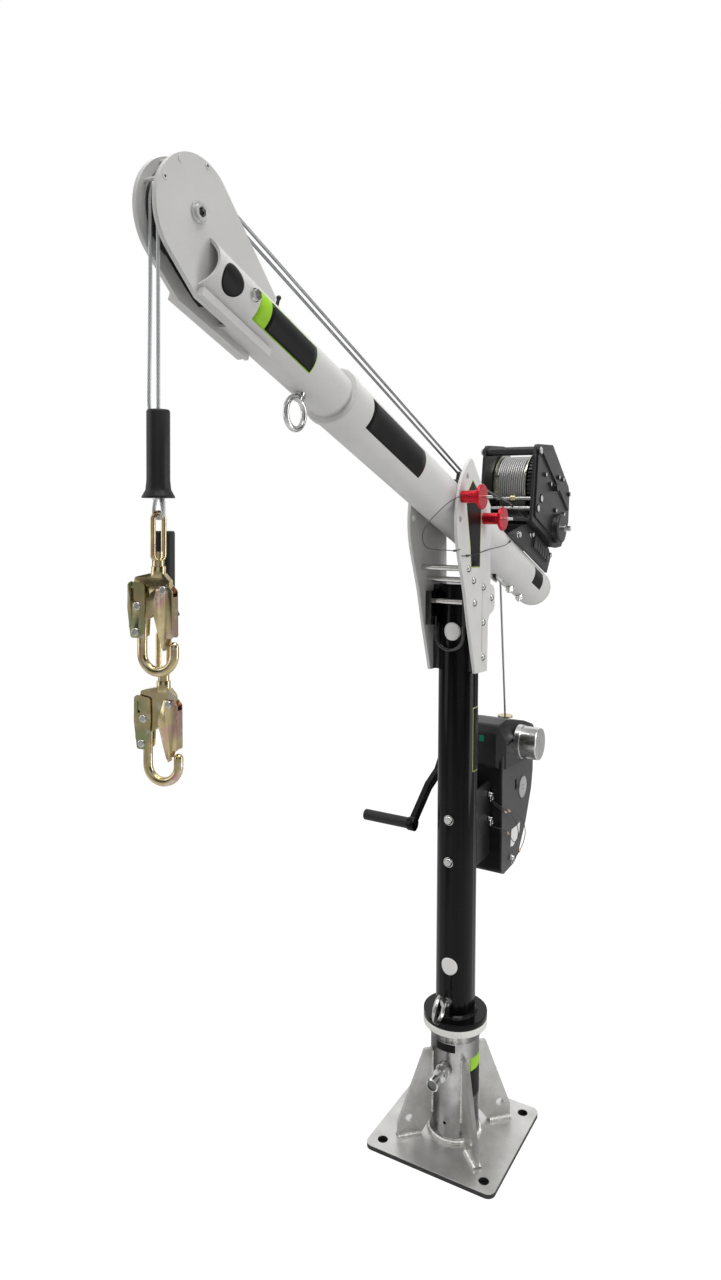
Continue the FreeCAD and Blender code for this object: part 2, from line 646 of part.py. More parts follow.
mouth_a = dive[0] - (GUIDE_N - BOOM_R) / slope
slot_half = PULLEY_W / 2 + SIDE_GAP + PULLEY_LUG_T

# Lower boom tube with pivot bore, lock bore, rope mouth, pulley slot and rear cap
lower = tube(V(-BOOM_REAR, 0, 0), X, BOOM_R, BOOM_R - BOOM_WALL, BOOM_REAR + BOOM_SHOULDER)
lower = lower.cut(cyl(V(0, -BOOM_OD, 0), Y, PIVOT_PIN_R + RUN_FIT, 2 * BOOM_OD))
lower = lower.cut(cyl(V(LOCK_RADIUS, -BOOM_OD, 0), Y, LOCK_PIN_R + RUN_FIT, 2 * BOOM_OD))
mouth_w = ROPE_D + 5.0
lower = lower.cut(box(mouth_a - 60, mouth_a + 40, -SHEAVE_Y - mouth_w, -SHEAVE_Y + mouth_w, 20, BOOM_OD))
slot_l = PULLEY_R + 16.0
lower = lower.cut(box(PULLEY_A - slot_l, PULLEY_A + slot_l, -SHEAVE_Y - slot_half, -SHEAVE_Y + slot_half,
                      -BOOM_OD, -20))
lower = lower.fuse(cyl(V(-BOOM_REAR, 0, 0), X, BOOM_R - BOOM_WALL, BOOM_CAP_T)).removeSplitter()
keep("boom_lower", on_boom(lower))

# Shoulder collar where the boom steps down
collar = tube(V(BOOM_SHOULDER - COLLAR_W / 2, 0, 0), X, BOOM_R + COLLAR_RISE, UPPER_R, COLLAR_W)
collar = collar.makeFillet(COLLAR_RISE, [e for e in circles(collar) if e.Curve.Radius > BOOM_R])
collar = collar.cut(tube(V(BOOM_SHOULDER - COLLAR_W, 0, 0), X, BOOM_R, BOOM_R - BOOM_WALL, COLLAR_W))
keep("boom_collar", on_boom(collar))

# Upper boom tube with slots for the cheeks and a hollowed end
upper_a = BOOM_SHOULDER - UPPER_LAP
upper = tube(V(upper_a, 0, 0), X, UPPER_R, UPPER_R - UPPER_WALL, UPPER_END - upper_a)
for sy in (-1, 1):
    y0, y1 = sorted((sy * CHEEK_IN, sy * CHEEK_OUT))
    upper = upper.cut(box(TAIL_A, UPPER_END + 1, y0, y1, -UPPER_OD, UPPER_OD))
upper = upper.cut(box(SHEAVE_A - 2 * SHEAVE_R, UPPER_END + 1, -CHEEK_OUT, CHEEK_OUT, -UPPER_OD, UPPER_OD))
upper = upper.cut(cyl(V(UPPER_END + UPPER_OD - MOUTH_DEPTH, -UPPER_OD, 0), Y, UPPER_OD, 2 * UPPER_OD))
keep("boom_upper", on_boom(upper))

# Head cheeks with their foot strips
keeper_rad = SHEAVE_R + ROPE_R + KEEPER_GAP + KEEPER_R
keeper_spots = []
for deg in KEEPER_ANGLES:
    t = math.radians(deg)
    keeper_spots.append((SHEAVE_A + keeper_rad * math.cos(t), SHEAVE_N + keeper_rad * math.sin(t)))


def cheek(sy):
    y0, y1 = sorted((sy * CHEEK_IN, sy * CHEEK_OUT))
    tail_top = (TAIL_A + 14.0, UPPER_R + 6.0)
    low_tan = tangent_spot(CHIN_A, CHIN_N, SHEAVE_A, CHEEK_N, CHEEK_R, -1)
    top_tan = tangent_spot(tail_top[0], tail_top[1], SHEAVE_A, CHEEK_N, CHEEK_R, 1)
    nose = (SHEAVE_A + CHEEK_R * math.cos(0.35), CHEEK_N + CHEEK_R * math.sin(0.35))
    pts = [V(a, y0, n) for a, n in (top_tan, tail_top, (TAIL_A, CHIN_N + 2.0), (CHIN_A, CHIN_N), low_tan)]
    edges = [Part.makeLine(p, q) for p, q in zip(pts, pts[1:])]
    edges.append(Part.Arc(pts[-1], V(nose[0], y0, nose[1]), pts[0]).toShape())
    c = Part.Face(Part.Wire(edges)).extrude(V(0, CHEEK_T, 0))
    c = c.cut(cyl(V(SHEAVE_A, y0, SHEAVE_N), Y, AXLE_R, CHEEK_T))
    for ka, kn in keeper_spots:
        c = c.cut(cyl(V(ka, y0, kn), Y, KEEPER_R, CHEEK_T))
    s0, s1 = sorted((sy * CHEEK_OUT, sy * (CHEEK_OUT + 11.0)))
    strip = box(TAIL_A + 6, CHIN_A + 4, s0, s1, CHIN_N + 1.0, CHIN_N + 15.0)
    strip = strip.cut(cyl(V(TAIL_A - 50, 0, 0), X, UPPER_R, CHEEK_TAIL + 100))
    return c.fuse(strip).removeSplitter()


keep("cheek_near", on_boom(cheek(1)))
keep("cheek_far", on_boom(cheek(-1)))

# Sheave axle with socket heads, and the rope keepers
axle = [cyl(V(SHEAVE_A, -CHEEK_OUT - 3, SHEAVE_N), Y, AXLE_R, 2 * CHEEK_OUT + 6)]
for sy in (-1, 1):
    axle.append(cyl(V(SHEAVE_A, sy * CHEEK_OUT, SHEAVE_N), Y * sy, AXLE_R + 6.5, 3.0))
    head = cyl(V(SHEAVE_A, sy * (CHEEK_OUT + 3.0), SHEAVE_N), Y * sy, AXLE_R + 2.5, AXLE_HEAD_L)
    at = V(SHEAVE_A, sy * (CHEEK_OUT + 3.2), SHEAVE_N)
    axle.append(head.cut(hexagon(at, Y * sy, AXLE_SOCKET, AXLE_HEAD_L)))
pins = [fused(axle)]
for ka, kn in keeper_spots:
    rod = [cyl(V(ka, -CHEEK_OUT, kn), Y, KEEPER_R, 2 * CHEEK_OUT)]
    for sy in (-1, 1):
        rod.append(dome_head(V(ka, sy * CHEEK_OUT, kn), Y * sy, KEEPER_R + 1.8, KEEPER_HEAD_H))
    pins.append(fused(rod))
keep("head_axle", on_boom(Part.makeCompound(pins)))


def sheave(cy, cx, cn, r_rope, width, bore, lip):
    """Grooved wheel on an axle along Y, with the rope lying in its groove."""
    rim = r_rope + lip
    root = r_rope - ROPE_R - FREE_GAP
    h = width / 2
    g = min(h - 1.0, rim - root)
    pts = [(bore, -h), (rim, -h), (rim, -g), (root, -g * 0.42), (root, g * 0.42), (rim, g), (rim, h), (bore, h)]
    ring = [V(r, y, 0) for r, y in pts + pts[:1]]
    wheel = Part.Face(Part.makePolygon(ring)).revolve(V(0, 0, 0), Y, 360)
    web = (bore + root) / 2 + 1.0
    for k in range(6):
        t = math.radians(60 * k)
        wheel = wheel.cut(cyl(V(web * math.cos(t), -h, web * math.sin(t)), Y, (root - bore) * 0.22, width))
    wheel.translate(V(cx, cy, cn))
    return wheel


for name, sy in (("sheave_near", 1), ("sheave_far", -1)):
    wheel = sheave(sy * SHEAVE_Y, SHEAVE_A, SHEAVE_N, SHEAVE_R, SHEAVE_W, AXLE_R + RUN_FIT, SHEAVE_LIP)
    keep(name, on_boom(wheel))

# Rope guide on the boom between the head plates
rest_n = GUIDE_N - ROPE_R - 1.0
wedge = [(118, 50), (118, 58), (GUIDE_A, rest_n), (GUIDE_A - 20, rest_n - 10), (GUIDE_A - 20, 50)]
block = prism(wedge, -GUIDE_HALF_W, GUIDE_HALF_W).cut(cyl(V(-200, 0, 0), X, BOOM_R, 400))
block = block.cut(box(GUIDE_A - 34, GUIDE_A + 2, -SHEAVE_Y - 8, -SHEAVE_Y + 8, 40, GUIDE_N + 30))
posts = []
for sy in (-1, 1):
    y0, y1 = sorted((sy * (GUIDE_HALF_W - 8), sy * GUIDE_HALF_W))
    posts.append(box(GUIDE_A - 20, GUIDE_A + 18, y0, y1, rest_n - 20, GUIDE_N + ROPE_R + 2 * GUIDE_PIN_R + 3))
hold_n = GUIDE_N + ROPE_R + GUIDE_PIN_R + 1.5 * FREE_GAP
ride_n = GUIDE_N - ROPE_R - GUIDE_PIN_R - 4 * FREE_GAP
bridge = cyl(V(GUIDE_A, -GUIDE_HALF_W, hold_n), Y, GUIDE_PIN_R, 2 * GUIDE_HALF_W)
roller = cyl(V(dive[0], -GUIDE_HALF_W, ride_n), Y, GUIDE_PIN_R, 2 * GUIDE_HALF_W)
keep("rope_guide", on_boom(fused([block] + posts + [bridge, roller])))

# Eye bolt, cross bolts, rope stop and saddle nuts of the boom
upper_round = cyl(V(upper_a, 0, 0), X, UPPER_R, UPPER_END)
lower_round = cyl(V(-BOOM_REAR, 0, 0), X, BOOM_R, BOOM_REAR + BOOM_SHOULDER)
trim = [eye_bolt(V(BOOM_SHOULDER + 103.0, 0, -UPPER_R - 1.0), -Z, Y).cut(upper_round)]
seat = cyl(V(BOOM_SHOULDER + 103.0, 0, -UPPER_R - 2.0), Z, EYE_SHANK_R + 4.0, 8.0).cut(upper_round)
trim[0] = trim[0].fuse(seat).removeSplitter()
cross_a = SHEAVE_A - 137.0
for sy in (-1, 1):
    c = hexagon(V(cross_a, sy * (UPPER_R - 0.5), 3), Y * sy, 16.0, 8.0)
    c = c.fuse(cyl(V(cross_a, sy * (UPPER_R - 1.5), 3), Y * sy, 11.0, 3.0))
    trim.append(c.cut(upper_round).removeSplitter())
stop_a = TAIL_A - 20.0
stop = [cyl(V(stop_a, 0, UPPER_R - 1.0), Z, 6.0, 6.0), cyl(V(stop_a, 0, UPPER_R - 0.5), Z, 3.2, 30.0),
        Part.makeSphere(4.6, V(stop_a, 0, UPPER_R + 30))]
trim.append(fused(stop).cut(upper_round))
for ra in (DRUM_A + 28.0, DRUM_A - 60.0):
    nut = [cyl(V(ra, 0, -BOOM_R - 3.0), Z, 13.0, 8.0), hexagon(V(ra, 0, -BOOM_R - 13.0), Z, 19.0, 10.0),
           cyl(V(ra, 0, -BOOM_R - 18.0), Z, 6.0, 10.0)]
    trim.append(fused(nut).cut(lower_round))
keep("boom_fittings", on_boom(Part.makeCompound(trim)))

# Pulley under the boom with its lugs
lugs = [cyl(V(PULLEY_A, -SHEAVE_Y - slot_half, PULLEY_N), Y, PULLEY_AXLE_R, 2 * slot_half)]
lug_top, lug_low = PULLEY_N + 9.0, PULLEY_N - PULLEY_R - 3.0
ear = [(PULLEY_A - slot_l + 2, lug_top), (PULLEY_A - 20, lug_low), (PULLEY_A + 20, lug_low),
       (PULLEY_A + slot_l - 2, lug_top)]
for sy in (-1, 1):
    y0, y1 = sorted((sy * (slot_half - PULLEY_LUG_T) - SHEAVE_Y, sy * slot_half - SHEAVE_Y))
    lugs.append(prism(ear, y0, y1))
keep("pulley_bracket", on_boom(fused(lugs)))
wheel = sheave(-SHEAVE_Y, PULLEY_A, PULLEY_N, PULLEY_R, PULLEY_W, PULLEY_AXLE_R + RUN_FIT, PULLEY_LIP)
keep("boom_pulley", on_boom(wheel))

# Winch saddle on the boom, open underneath
saddle_side = [(DRUM_A + 239, SADDLE_FOOT_N), (DRUM_A + 114, SADDLE_TOP), (DRUM_A - 102, SADDLE_TOP),
               (DRUM_A - 134, SADDLE_TOP - 16), (DRUM_A - 116, SADDLE_FOOT_N)]
saddle = prism(saddle_side, -SADDLE_HALF_W, SADDLE_HALF_W)
in_half = SADDLE_HALF_W - SADDLE_WALL
saddle = saddle.cut(box(DRUM_A - 300, DRUM_A + 300, -in_half, in_half, 0, SADDLE_TOP - SADDLE_WALL))
saddle_parts = [saddle.cut(lower_round)]
for sy in (-1, 1):
    pad_out = SADDLE_HALF_W + SADDLE_PAD_T
    y0, y1 = sorted((sy * SADDLE_HALF_W, sy * pad_out))
    pad = box(DRUM_A - 96, DRUM_A + 44, y0, y1, SADDLE_FOOT_N + 28, SADDLE_TOP - 12)
    y0, y1 = sorted((sy * (pad_out - 3.0), sy * pad_out))
    for k in range(5):
        groove_a = DRUM_A - 78 + 22 * k
        pad = pad.cut(box(groove_a, groove_a + 6, y0, y1, SADDLE_FOOT_N, SADDLE_TOP))
    saddle_parts.append(pad)
    for a, n in SADDLE_BOLTS:
        saddle_parts.append(hexagon(V(DRUM_A + a, sy * SADDLE_HALF_W, SADDLE_FOOT_N + n), Y * sy, 15.0, 8.0))
keep("winch_saddle", on_boom(fused(saddle_parts)))

# Winch side plates joined by the base plate
side_plate = [(182, 22), (182, 58), (168, 66), (46, 119), (-153, 64), (-170, 43), (-194, -43), (-153, -135),
              (-101, -DRUM_RISE), (141, -DRUM_RISE)]
side_plate = [(DRUM_A + a, DRUM_N + n) for a, n in side_plate]
cross_rods = [(bar_spot, BAR_R)] + [(spot, ROD_R) for spot in rod_spots]
frame = [box(DRUM_A - 96, DRUM_A + 134, -WINCH_HALF_W, WINCH_HALF_W, SADDLE_TOP, SADDLE_TOP + WINCH_BASE_T)]
for y0 in (WINCH_HALF_W, -WINCH_OUT):
    side = prism(side_plate, y0, y0 + WINCH_PLATE_T, WINCH_CORNER_R)
    side = side.cut(cyl(V(DRUM_A, y0, DRUM_N), Y, DRUM_SHAFT_R + RUN_FIT, WINCH_PLATE_T))
    side = side.cut(cyl(V(DRIVE_A, y0, DRIVE_N), Y, DRIVE_R + RUN_FIT, WINCH_PLATE_T))
    for (a, n), r in cross_rods:
        side = side.cut(cyl(V(a, y0, n), Y, r, WINCH_PLATE_T))
    frame.append(side)
keep("winch_plates", on_boom(fused(frame)))

# Cross bar and fairlead rods with their nuts, and a collar on the upper rod
bars = []
for (a, n), r in cross_rods:
    rod = [cyl(V(a, -WINCH_OUT - 4, n), Y, r, 2 * WINCH_OUT + 8)]
    for sy in (-1, 1):
        rod.append(hexagon(V(a, sy * (WINCH_OUT + (4 if r == BAR_R else 0)), n), Y * sy, ROD_R + 12.0, 7.0))
    bars.append(fused(rod))
ring = cyl(V(rod_spots[0][0], -7, rod_spots[0][1]), Y, ROD_R + 4.5, 14)
bars[1] = bars[1].fuse(ring).removeSplitter()
keep("winch_bars", on_boom(Part.makeCompound(bars)))

# Gear cover with a rib, nuts and the brake housing on the near side
panel = [(168, 32), (148, 54), (46, 104), (-144, 52), (-156, 32), (-178, -40), (-142, -126), (-96, -140),
         (126, -140)]
panel = [(DRUM_A + a, DRUM_N + n) for a, n in panel]
cover = prism(panel, WINCH_OUT, WINCH_OUT + WINCH_COVER_T, WINCH_CORNER_R)
for a, n in rod_spots:
    cover = cover.cut(cyl(V(a, 0, n), Y, ROD_R + 7.0, 2 * WINCH_OUT))
cover = cover.cut(cyl(V(bar_spot[0], 0, bar_spot[1]), Y, BAR_R + 1.0, 2 * WINCH_OUT))
brake = cyl(V(DRIVE_A, WINCH_OUT, DRIVE_N), Y, BRAKE_R, BRAKE_T)
brake = brake.makeFillet(6.0, [e for e in circles(brake) if e.CenterOfMass.y > WINCH_OUT + 1])
rib = [(DRUM_A + a, DRUM_N + n) for a, n in ((144, 48), (136, 52), (-156, -6), (-152, -16))]
cover_parts = [cover, brake, prism(rib, WINCH_OUT, WINCH_OUT + WINCH_COVER_T + 5.0)]
for a, n in [(-26, 44), (-66, 54), (-36, -60), (-148, 38), (40, -6), (-116, -42), (94, 2)]:
    cover_parts.append(hexagon(V(DRUM_A + a, WINCH_OUT + WINCH_COVER_T, DRUM_N + n), Y, 12.0, 6.0))
cover = fused(cover_parts)
cover = cover.cut(cyl(V(DRUM_A, 0, DRUM_N), Y, DRUM_SHAFT_R + RUN_FIT, 3 * WINCH_OUT))
cover = cover.cut(cyl(V(DRIVE_A, 0, DRIVE_N), Y, DRIVE_R + RUN_FIT, 3 * WINCH_OUT))
keep("winch_cover", on_boom(cover))


def toothed(ca, cn, r, teeth, y0, w):
    pts = []
    for k in range(teeth):
        for f, rr in ((0.0, r - GEAR_TOOTH_H), (0.28, r - GEAR_TOOTH_H), (0.38, r), (0.9, r)):
            t = 2 * math.pi * (k + f) / teeth
            pts.append((ca + rr * math.cos(t), cn + rr * math.sin(t)))
    return prism(pts, y0, y0 + w)


# Drum with its core, flanges, shaft and toothed gear
drum = [
    cyl(V(DRUM_A, -WINCH_OUT - 6, DRUM_N), Y, DRUM_SHAFT_R, 2 * WINCH_OUT + WINCH_COVER_T + 20),
    cyl(V(DRUM_A, DRUM_Y0, DRUM_N), Y, DRUM_CORE_R, DRUM_Y1 - DRUM_Y0),
    cyl(V(DRUM_A, DRUM_Y0, DRUM_N), Y, DRUM_FLANGE_R, DRUM_FLANGE_T),
    cyl(V(DRUM_A, DRUM_Y1 - DRUM_FLANGE_T, DRUM_N), Y, DRUM_FLANGE_R, DRUM_FLANGE_T),
    cyl(V(DRUM_A, DRUM_Y1, DRUM_N), Y, GEAR_R * 0.5, GEAR_STANDOFF),
    toothed(DRUM_A, DRUM_N, GEAR_R, GEAR_TEETH, GEAR_Y, GEAR_W),
]
keep("winch_drum", on_boom(fused(drum)))

# Drive shaft with its pinion and hexagon end for a crank
hex_y = WINCH_OUT + BRAKE_T + 8
drive = [
    cyl(V(DRIVE_A, -WINCH_OUT - 4, DRIVE_N), Y, DRIVE_R, hex_y + WINCH_OUT + 4),
    toothed(DRIVE_A, DRIVE_N, PINION_R, PINION_TEETH, GEAR_Y, GEAR_W),
    hexagon(V(DRIVE_A, hex_y, DRIVE_N), Y, DRIVE_HEX_AF, DRIVE_HEX_L),
]
keep("winch_drive", on_boom(fused(drive)))

# Outer layer of rope wound on the drum, one tube of quarter-turn arcs
wind_y0 = DRUM_Y0 + DRUM_FLANGE_T + ROPE_R + 2 * FREE_GAP
wind_y1 = DRUM_Y1 - DRUM_FLANGE_T - ROPE_R - 2 * FREE_GAP
wind_turns = int((wind_y1 - wind_y0) / WIND_PITCH)


def wind_point(turns):
    t = 2 * math.pi * turns
    return V(DRUM_A + WIND_R * math.cos(t), wind_y0 + WIND_PITCH * turns, DRUM_N + WIND_R * math.sin(t))


quarters = []
for k in range(4 * wind_turns):
    quarters.append(Part.Arc(*[wind_point((k + f) / 4) for f in (0.0, 0.5, 1.0)]).toShape())
keep("winch_winding", on_boom(sweep(quarters, ROPE_R)))
spots = [wind_point(k / 90) for k in range(360)]
least = min((p - q).Length for k, p in enumerate(spots) for q in spots[k + 45:])
print("winding turns", wind_turns, "least gap to itself", round(least - ROPE_D, 3))


def over_head(y, last):
    """Last point on the run, and the arc over the head sheave to where the rope hangs plumb."""
    ta, tn = tangent_spot(last[0], last[1], SHEAVE_A, SHEAVE_N, SHEAVE_R, 1)
    t0, t1 = math.atan2(tn - SHEAVE_N, ta - SHEAVE_A), -math.radians(BOOM_TILT)
    spots = []
    for t in (t0, (t0 + t1) / 2, t1):
        spots.append(V(SHEAVE_A + SHEAVE_R * math.cos(t), y, SHEAVE_N + SHEAVE_R * math.sin(t)))
    return spots[0], Part.Arc(*spots).toShape()


# Winch rope from the drum, over the lower rod, under the guide bar, over the near sheave
meet, arc = over_head(SHEAVE_Y, dip)
route = [V(a, SHEAVE_Y, n) for a, n in (drum_leave, over_rod, dip)] + [meet]
keep("rope_winch", on_boom(cord("rope_winch", path_edges(route, ROPE_BEND) + [arc], ROPE_R)))

# Retrieval rope from the boom pulley, through the boom, over the far sheave
meet, arc = over_head(-SHEAVE_Y, dive)
t0 = math.atan2(drop_top.z - pulley_c.z, drop_top.x - pulley_c.x) - math.radians(BOOM_TILT)
t1 = math.atan2(pulley_in[1] - PULLEY_N, pulley_in[0] - PULLEY_A)
turn = []
for t in (t0, (t0 + t1) / 2, t1):
    turn.append(V(PULLEY_A + PULLEY_R * math.cos(t), -SHEAVE_Y, PULLEY_N + PULLEY_R * math.sin(t)))
route = [turn[2], V(dive[0], -SHEAVE_Y, dive[1]), meet]
edges = [Part.Arc(*turn).toShape()] + path_edges(route, ROPE_BEND) + [arc]
keep("rope_retrieval", on_boom(cord("rope_retrieval", edges, ROPE_R)))

# Free rope from the boom pulley down to the retrieval block
keep("rope_drop", cord("rope_drop", [Part.makeLine(drop_top, GLAND)], ROPE_R))

# Retrieval block: case and near cover of one outline
case_side = [(0, 0), (-100, 4), (-132, 22), (-190, 92), (-236, 178), (-248, 230), (-248, SRL_CASE_H + 40),
             (0, SRL_CASE_H + 40)]
case_side = [(SRL_X + a, SRL_LOW_Z + b) for a, b in case_side]
case = prism(case_side, -SRL_HALF_W, SRL_HALF_W - SRL_COVER_T, SRL_CORNER_R)
boss_r = CRANK_SHAFT_R + 10.0
case = case.fuse(cyl(V(CLUTCH_X, -CAP_HALF_W - 5, CLUTCH_Z), Y, boss_r, 30))
keep("srl_case", case.cut(cyl(V(CLUTCH_X, -CAP_HALF_W - 6, CLUTCH_Z), Y, CRANK_SHAFT_R + RUN_FIT, 40)))
cover = prism(case_side, SRL_HALF_W - SRL_COVER_T, SRL_HALF_W, SRL_CORNER_R)
window = box(SRL_X - 112, SRL_X - 98, SRL_HALF_W - SRL_COVER_T, SRL_HALF_W, SRL_LOW_Z + 208, SRL_LOW_Z + 236)
keep("srl_cover", cover.cut(window))

# Faceted cap over the top of the block
cap_side = [(6, 4), (6, 98), (-10, 120), (-70, 123), (-180, 99), (-226, 82), (-256, 52), (-256, 24), (-160, -8)]
cap_side = [(SRL_X + a, SRL_MID_Z + b) for a, b in cap_side]
cap = prism(cap_side, -CAP_HALF_W, CAP_HALF_W, SRL_CORNER_R * 0.6)
cap = cap.cut(prism(case_side, -SRL_HALF_W, SRL_HALF_W, SRL_CORNER_R))
for sy in (-1, 1):
    edge = sy * CAP_HALF_W
    facet = [V(0, edge, SRL_MID_Z + 78), V(0, edge + sy, SRL_MID_Z + 132),
             V(0, edge - 26 * sy, SRL_MID_Z + 132)]
    cap = cap.cut(Part.Face(Part.makePolygon(facet + facet[:1])).extrude(V(3 * SRL_X, 0, 0)))
    nose = [V(SRL_X + 7, edge - 24 * sy, 0), V(SRL_X + 7, edge + sy, 0), V(SRL_X - 14, edge + sy, 0)]
    cap = cap.cut(Part.Face(Part.makePolygon(nose + nose[:1])).extrude(V(0, 0, MAST_TOP_Z)))
    y0, y1 = sorted((edge - 4 * sy, edge + 2 * sy))
    cap = cap.cut(box(SRL_X - 66, SRL_X - 20, y0, y1, SRL_MID_Z + 66, SRL_MID_Z + 74))
cap = cap.cut(cyl(V(CLUTCH_X, -2 * CAP_HALF_W, CLUTCH_Z), Y, boss_r + FREE_GAP, 4 * CAP_HALF_W))
gland_r = ROPE_R + 5.6
keep("srl_cap", cap.cut(cyl(V(GLAND.x, GLAND.y, SRL_MID_Z), Z, gland_r + TOUCH, 200)))

# Cable gland on the cap
gland = [tube(V(GLAND.x, GLAND.y, GLAND.z - 22), Z, gland_r, ROPE_R + FREE_GAP, 20),
         tube(V(GLAND.x, GLAND.y, GLAND.z - 3), Z, GLAND_R, ROPE_R + FREE_GAP, 5)]
keep("srl_guide", fused(gland))

# Clutch can above and hub disc on the near cover
clutch_boss = cyl(V(CLUTCH_X, SRL_HALF_W, CLUTCH_Z), Y, boss_r, SRL_CAP_PROUD)
clutch_ring = cyl(V(CLUTCH_X, CAP_HALF_W, CLUTCH_Z), Y, CLUTCH_R + 2, 14)
can = cyl(V(CLUTCH_X, CAP_HALF_W + 14, CLUTCH_Z), Y, CLUTCH_R, CLUTCH_L - 14)
can = can.makeFillet(3.0, [e for e in circles(can) if e.CenterOfMass.y > CAP_HALF_W + 20])
can = can.cut(tube(V(CLUTCH_X, CAP_HALF_W + 14, CLUTCH_Z), Y, CLUTCH_R + 5, CLUTCH_R - 2, 3))
hub_x, hub_z = SRL_X - 150, SRL_LOW_Z + 204
hub = cyl(V(hub_x, SRL_HALF_W, hub_z), Y, SRL_HUB_R, SRL_HUB_T)
for dz in (-5.0, 5.0):
    hub = hub.cut(cyl(V(hub_x, SRL_HALF_W + 2, hub_z + dz), Y, 2.4, SRL_HUB_T))
keep("srl_clutch", Part.makeCompound([fused([clutch_boss, clutch_ring, can]), hub]))


def ring_pin(x, y, z):
    """Small quick pin with a pull ring, standing on a face at y."""
    pull = Part.makeTorus(9.0, 1.3, V(x, y + 9, z - 10), Y)
    return fused([cyl(V(x, y, z), Y, 5.0, 12.0), cyl(V(x, y + 2, z), Y, 8.0, 3.0), pull])


# Bracket between the mast and the block, with its quick pins
low, high = SRL_LOW_Z + BRACKET_FOOT, SRL_MID_Z - BRACKET_HEAD
shoe_x = -MAST_R - BRACKET_SHOE
shoe = box(shoe_x, -MAST_R + 12, -BRACKET_HALF_W, BRACKET_HALF_W, low, high).cut(mast_round)
for bz in MAST_BOLT_ZS:
    shoe = shoe.cut(cyl(V(shoe_x, 0, bz), X, MAST_BOLT_R, MAST_R))
brackets = [shoe]
for sy in (-1, 1):
    y0, y1 = sorted((sy * (BRACKET_HALF_W - BRACKET_T), sy * BRACKET_HALF_W))
    brackets.append(box(SRL_X, shoe_x, y0, y1, low, high))
for drop in BRACKET_PIN_DROPS:
    brackets.append(ring_pin(SRL_X + 14, BRACKET_HALF_W, SRL_MID_Z - drop))
brackets.append(ring_pin(SRL_X - SIDE_PIN_BACK, SRL_HALF_W, SRL_LOW_Z + SIDE_PIN_UP))
keep("srl_bracket", Part.makeCompound(brackets))

# Crank of the block and its turning grip
crank_spots = [(0.0, 0.0)] + CRANK_BENDS + [CRANK_END]
crank_spots = [(CLUTCH_X + dx, CLUTCH_Z + dz) for dx, dz in crank_spots]
arm_y = CRANK_Y - CRANK_ARM_T
crank = [cyl(V(CLUTCH_X, -SRL_HALF_W + 10, CLUTCH_Z), -Y, CRANK_SHAFT_R, CRANK_OUT + CRANK_ARM_T + 10),
         cyl(V(CLUTCH_X, CRANK_Y + 20, CLUTCH_Z), -Y, CRANK_SHAFT_R + 8, 20 + CRANK_ARM_T)]
for (ax, az), (bx, bz) in zip(crank_spots, crank_spots[1:]):
    span = math.hypot(bx - ax, bz - az)
    nx, nz = -(bz - az) / span * CRANK_ARM_W / 2, (bx - ax) / span * CRANK_ARM_W / 2
    bar = [(ax + nx, az + nz), (bx + nx, bz + nz), (bx - nx, bz - nz), (ax - nx, az - nz)]
    crank.append(prism(bar, arm_y, CRANK_Y))
    crank.append(cyl(V(bx, arm_y, bz), Y, CRANK_ARM_W / 2, CRANK_ARM_T))
grip_at = V(crank_spots[-1][0], arm_y, crank_spots[-1][1])
crank.append(cyl(grip_at, Y, CRANK_BOSS_R, CRANK_ARM_T + 4.0))
crank.append(cyl(grip_at, -Y, SPINDLE_R, GRIP_L - 10))
crank.append(cyl(grip_at, -Y, GRIP_R + 2, 3.0))
keep("crank_arm", fused(crank))
grip = cyl(grip_at - Y * (3.0 + FREE_GAP), -Y, GRIP_R, GRIP_L - 3.0)
grip = grip.makeFillet(3.5, [e for e in circles(grip) if e.CenterOfMass.y < grip_at.y - 20])
keep("crank_grip", grip.cut(cyl(grip_at, -Y, SPINDLE_R + RUN_FIT, GRIP_L - 10 + FREE_GAP)))

# Lanyard of the lock pin: a stiff loop of wire from its stem forward and back to the near plate
face_y = PLATE_OUT + WIRE_R + TOUCH
stem_y = PLATE_OUT + 14.5
stem_x = lock_x + PIN_STEM_R + PIN_STEM_FLARE * 14.5 / PIN_STEM_L + WIRE_R + TOUCH
lock_route = [V(stem_x, stem_y, 1655), V(196, 80, 1650), V(252, 80, 1636), V(304, 79.5, 1614), V(350, 79, 1594),
              V(380, 78, 1570), V(372, 77, 1545), V(338, 76, 1534), V(284, 74, 1530), V(226, 71, 1527),
              V(180, 68.5, 1523), V(150, face_y, 1526)]
keep("lanyard_lock", cord("lanyard_lock", path_edges(lock_route), WIRE_R))

# Lanyard of the winch saddle: a wire along the near plate to the saddle
saddle_y = SADDLE_HALF_W + WIRE_R + TOUCH
saddle_route = [V(140, face_y, 1510), V(98, face_y, 1508), V(44, 67.6, 1511), V(-10, 68, 1517), V(-62, 68, 1521),
                V(-116, 67.5, 1523), V(-170, 66, 1528), V(-206, 62.5, 1538), V(-234, saddle_y, 1550)]
keep("lanyard_saddle", cord("lanyard_saddle", path_edges(saddle_route), WIRE_R))

